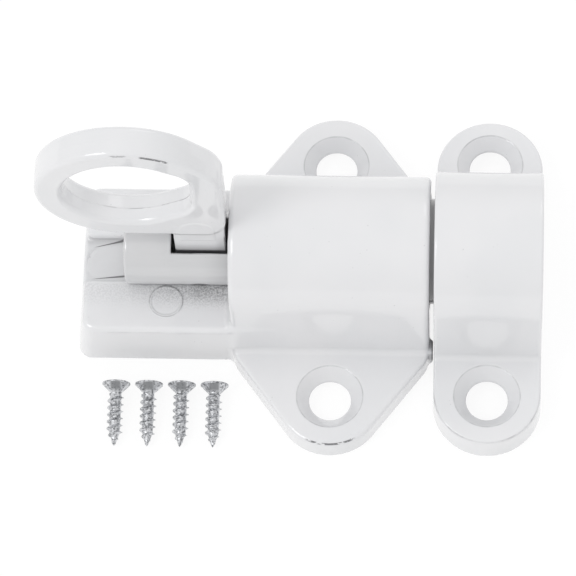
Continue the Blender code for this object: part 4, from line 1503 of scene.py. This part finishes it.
@dataclass(frozen=True)
class PhotoCamera:
    """The camera at the photograph's viewing angle: a long lens from above the near side.

    The angles are in degrees. The scale is the lens's length, and like the shifts of the aim it
    is in pixels of the photograph's frame.
    """

    turn: float = 5.0467
    height: float = 65.9028
    roll: float = -3.7859
    distance: float = 700.98
    scale: float = 4399.1
    shift_x: float = 45.894
    shift_y: float = 2.182
    sensor: float = 36.0

    def build(self) -> None:
        """Create the camera, aimed so that the object lies as it does in the photograph."""
        turn, height, roll = (math.radians(v) for v in (self.turn, self.height, self.roll))
        back = Vector((math.sin(turn) * math.cos(height), -math.cos(turn) * math.cos(height),
                       math.sin(height)))
        level = Vector((math.cos(turn), math.sin(turn), 0.0))
        upward = back.cross(level)
        right = math.cos(roll) * level + math.sin(roll) * upward
        up = -math.sin(roll) * level + math.cos(roll) * upward
        eye = self.distance * back
        aim = (self.shift_y * up - self.shift_x * right) * self.distance / self.scale
        ahead = (aim - eye).normalized()
        right = ahead.cross(up).normalized()
        data = bpy.data.cameras.new("photo_camera")
        data.sensor_width = self.sensor
        data.lens = self.scale / IMAGE_SIDE * self.sensor
        camera = put("photo_camera", data)
        matrix = Matrix((right, right.cross(ahead), -ahead)).transposed().to_4x4()
        matrix.translation = eye * MM
        camera.matrix_world = matrix
        bpy.context.scene.camera = camera


@dataclass(frozen=True)
class SoftLamp:
    """A large soft lamp that faces the object, with its place and its size in metres."""

    name: str
    place: Point
    size: float
    power: float

    def build(self) -> None:
        """Create the lamp."""
        data = bpy.data.lights.new(self.name, "AREA")
        data.shape = "DISK"
        data.size = self.size
        data.energy = self.power
        lamp = put(self.name, data)
        lamp.location = self.place
        lamp.rotation_euler = Vector(self.place).to_track_quat("Z", "Y").to_euler()


@dataclass(frozen=True)
class Studio:
    """A white studio: plain floor, even sky, soft lamps. The floor's side is in metres."""

    floor_side: float = 6.0
    white: float = 0.9
    seen_white: float = 0.85
    glow: float = 1.04
    low_sky: float = 0.75
    high_sky: float = 0.88
    lamps: tuple[SoftLamp, ...] = (SoftLamp("lamp_left", (-0.9, -0.5, 1.3), 0.7, 5.0),
                                   SoftLamp("lamp_back", (0.5, 1.2, 1.2), 0.8, 1.2))

    def build(self) -> None:
        """Create the floor, the sky and the lamps, and set the plain view transform."""
        self.floor()
        self.sky()
        for lamp in self.lamps:
            lamp.build()
        bpy.context.scene.view_settings.view_transform = "Standard"

    def floor(self) -> None:
        """Create the floor, which is seen nearly white and still keeps the object's shadow."""
        half = self.floor_side / 2.0
        mesh = bpy.data.meshes.new("floor")
        mesh.from_pydata([(-half, -half, 0), (half, -half, 0), (half, half, 0),
                          (-half, half, 0)], [], [(0, 1, 2, 3)])
        graph = graph_of("white_floor")
        rays = graph.add("ShaderNodeLightPath").outputs
        seen, *others = [Wire(graph, rays[name]) for name in
                         ("Is Camera Ray", "Is Glossy Ray", "Is Transmission Ray")]
        for ray in others:
            seen = seen.work("MAXIMUM", ray)
        lit = graph.node("ShaderNodeBsdfDiffuse", {}, {"Color": (*(self.white,) * 3, 1.0)})
        glow = graph.node("ShaderNodeEmission", {}, {"Color": WHITE, "Strength": self.glow})
        graph.close(graph.node("ShaderNodeMixShader", {}, {
            0: seen * self.seen_white, 1: lit, 2: glow}))
        mesh.materials.append(graph.owner)
        put("floor", mesh)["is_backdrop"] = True

    def sky(self) -> None:
        """Create the sky: white to the camera, and a little softer as light, most low down."""
        graph = Graph(bpy.data.worlds.new("white_sky"))
        bpy.context.scene.world = graph.owner
        height = graph.split(graph.node("ShaderNodeTexCoord", output="Generated"))[2]
        light = self.low_sky + height.rise(-0.1, 1.0) * (self.high_sky - self.low_sky)
        seen = graph.node("ShaderNodeLightPath", output="Is Camera Ray")
        graph.close(graph.node("ShaderNodeBackground", {}, {
            "Color": WHITE, "Strength": light + seen * (1.0 - light)}), "ShaderNodeOutputWorld")


def corners(box: tuple) -> list[list[float]]:
    """Return a box's two corners as plain lists."""
    return [[float(value) for value in corner] for corner in box]


def main() -> None:
    """Build the latch's pieces in order, then the studio."""
    logging.basicConfig(level=logging.INFO, format="%(name)s: %(message)s")
    packed = corners(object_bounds())
    PhotoCamera().build()
    paint = GlossPaint()
    Housing().build(paint)
    Keeper().build(paint)
    PullRing().build(paint)
    SlidingBolt().build(GlossPaint(colour=(0.66, 0.66, 0.67), shade=(0.635, 0.64, 0.65)))
    steel = Steel()
    CrossPin().build(steel)
    ReturnSpring().build(steel)
    LooseScrews().build(ZincPlate())
    Studio().build()
    {"packed": packed, "visual": corners(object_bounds())}


if __name__ == "__main__":
    main()
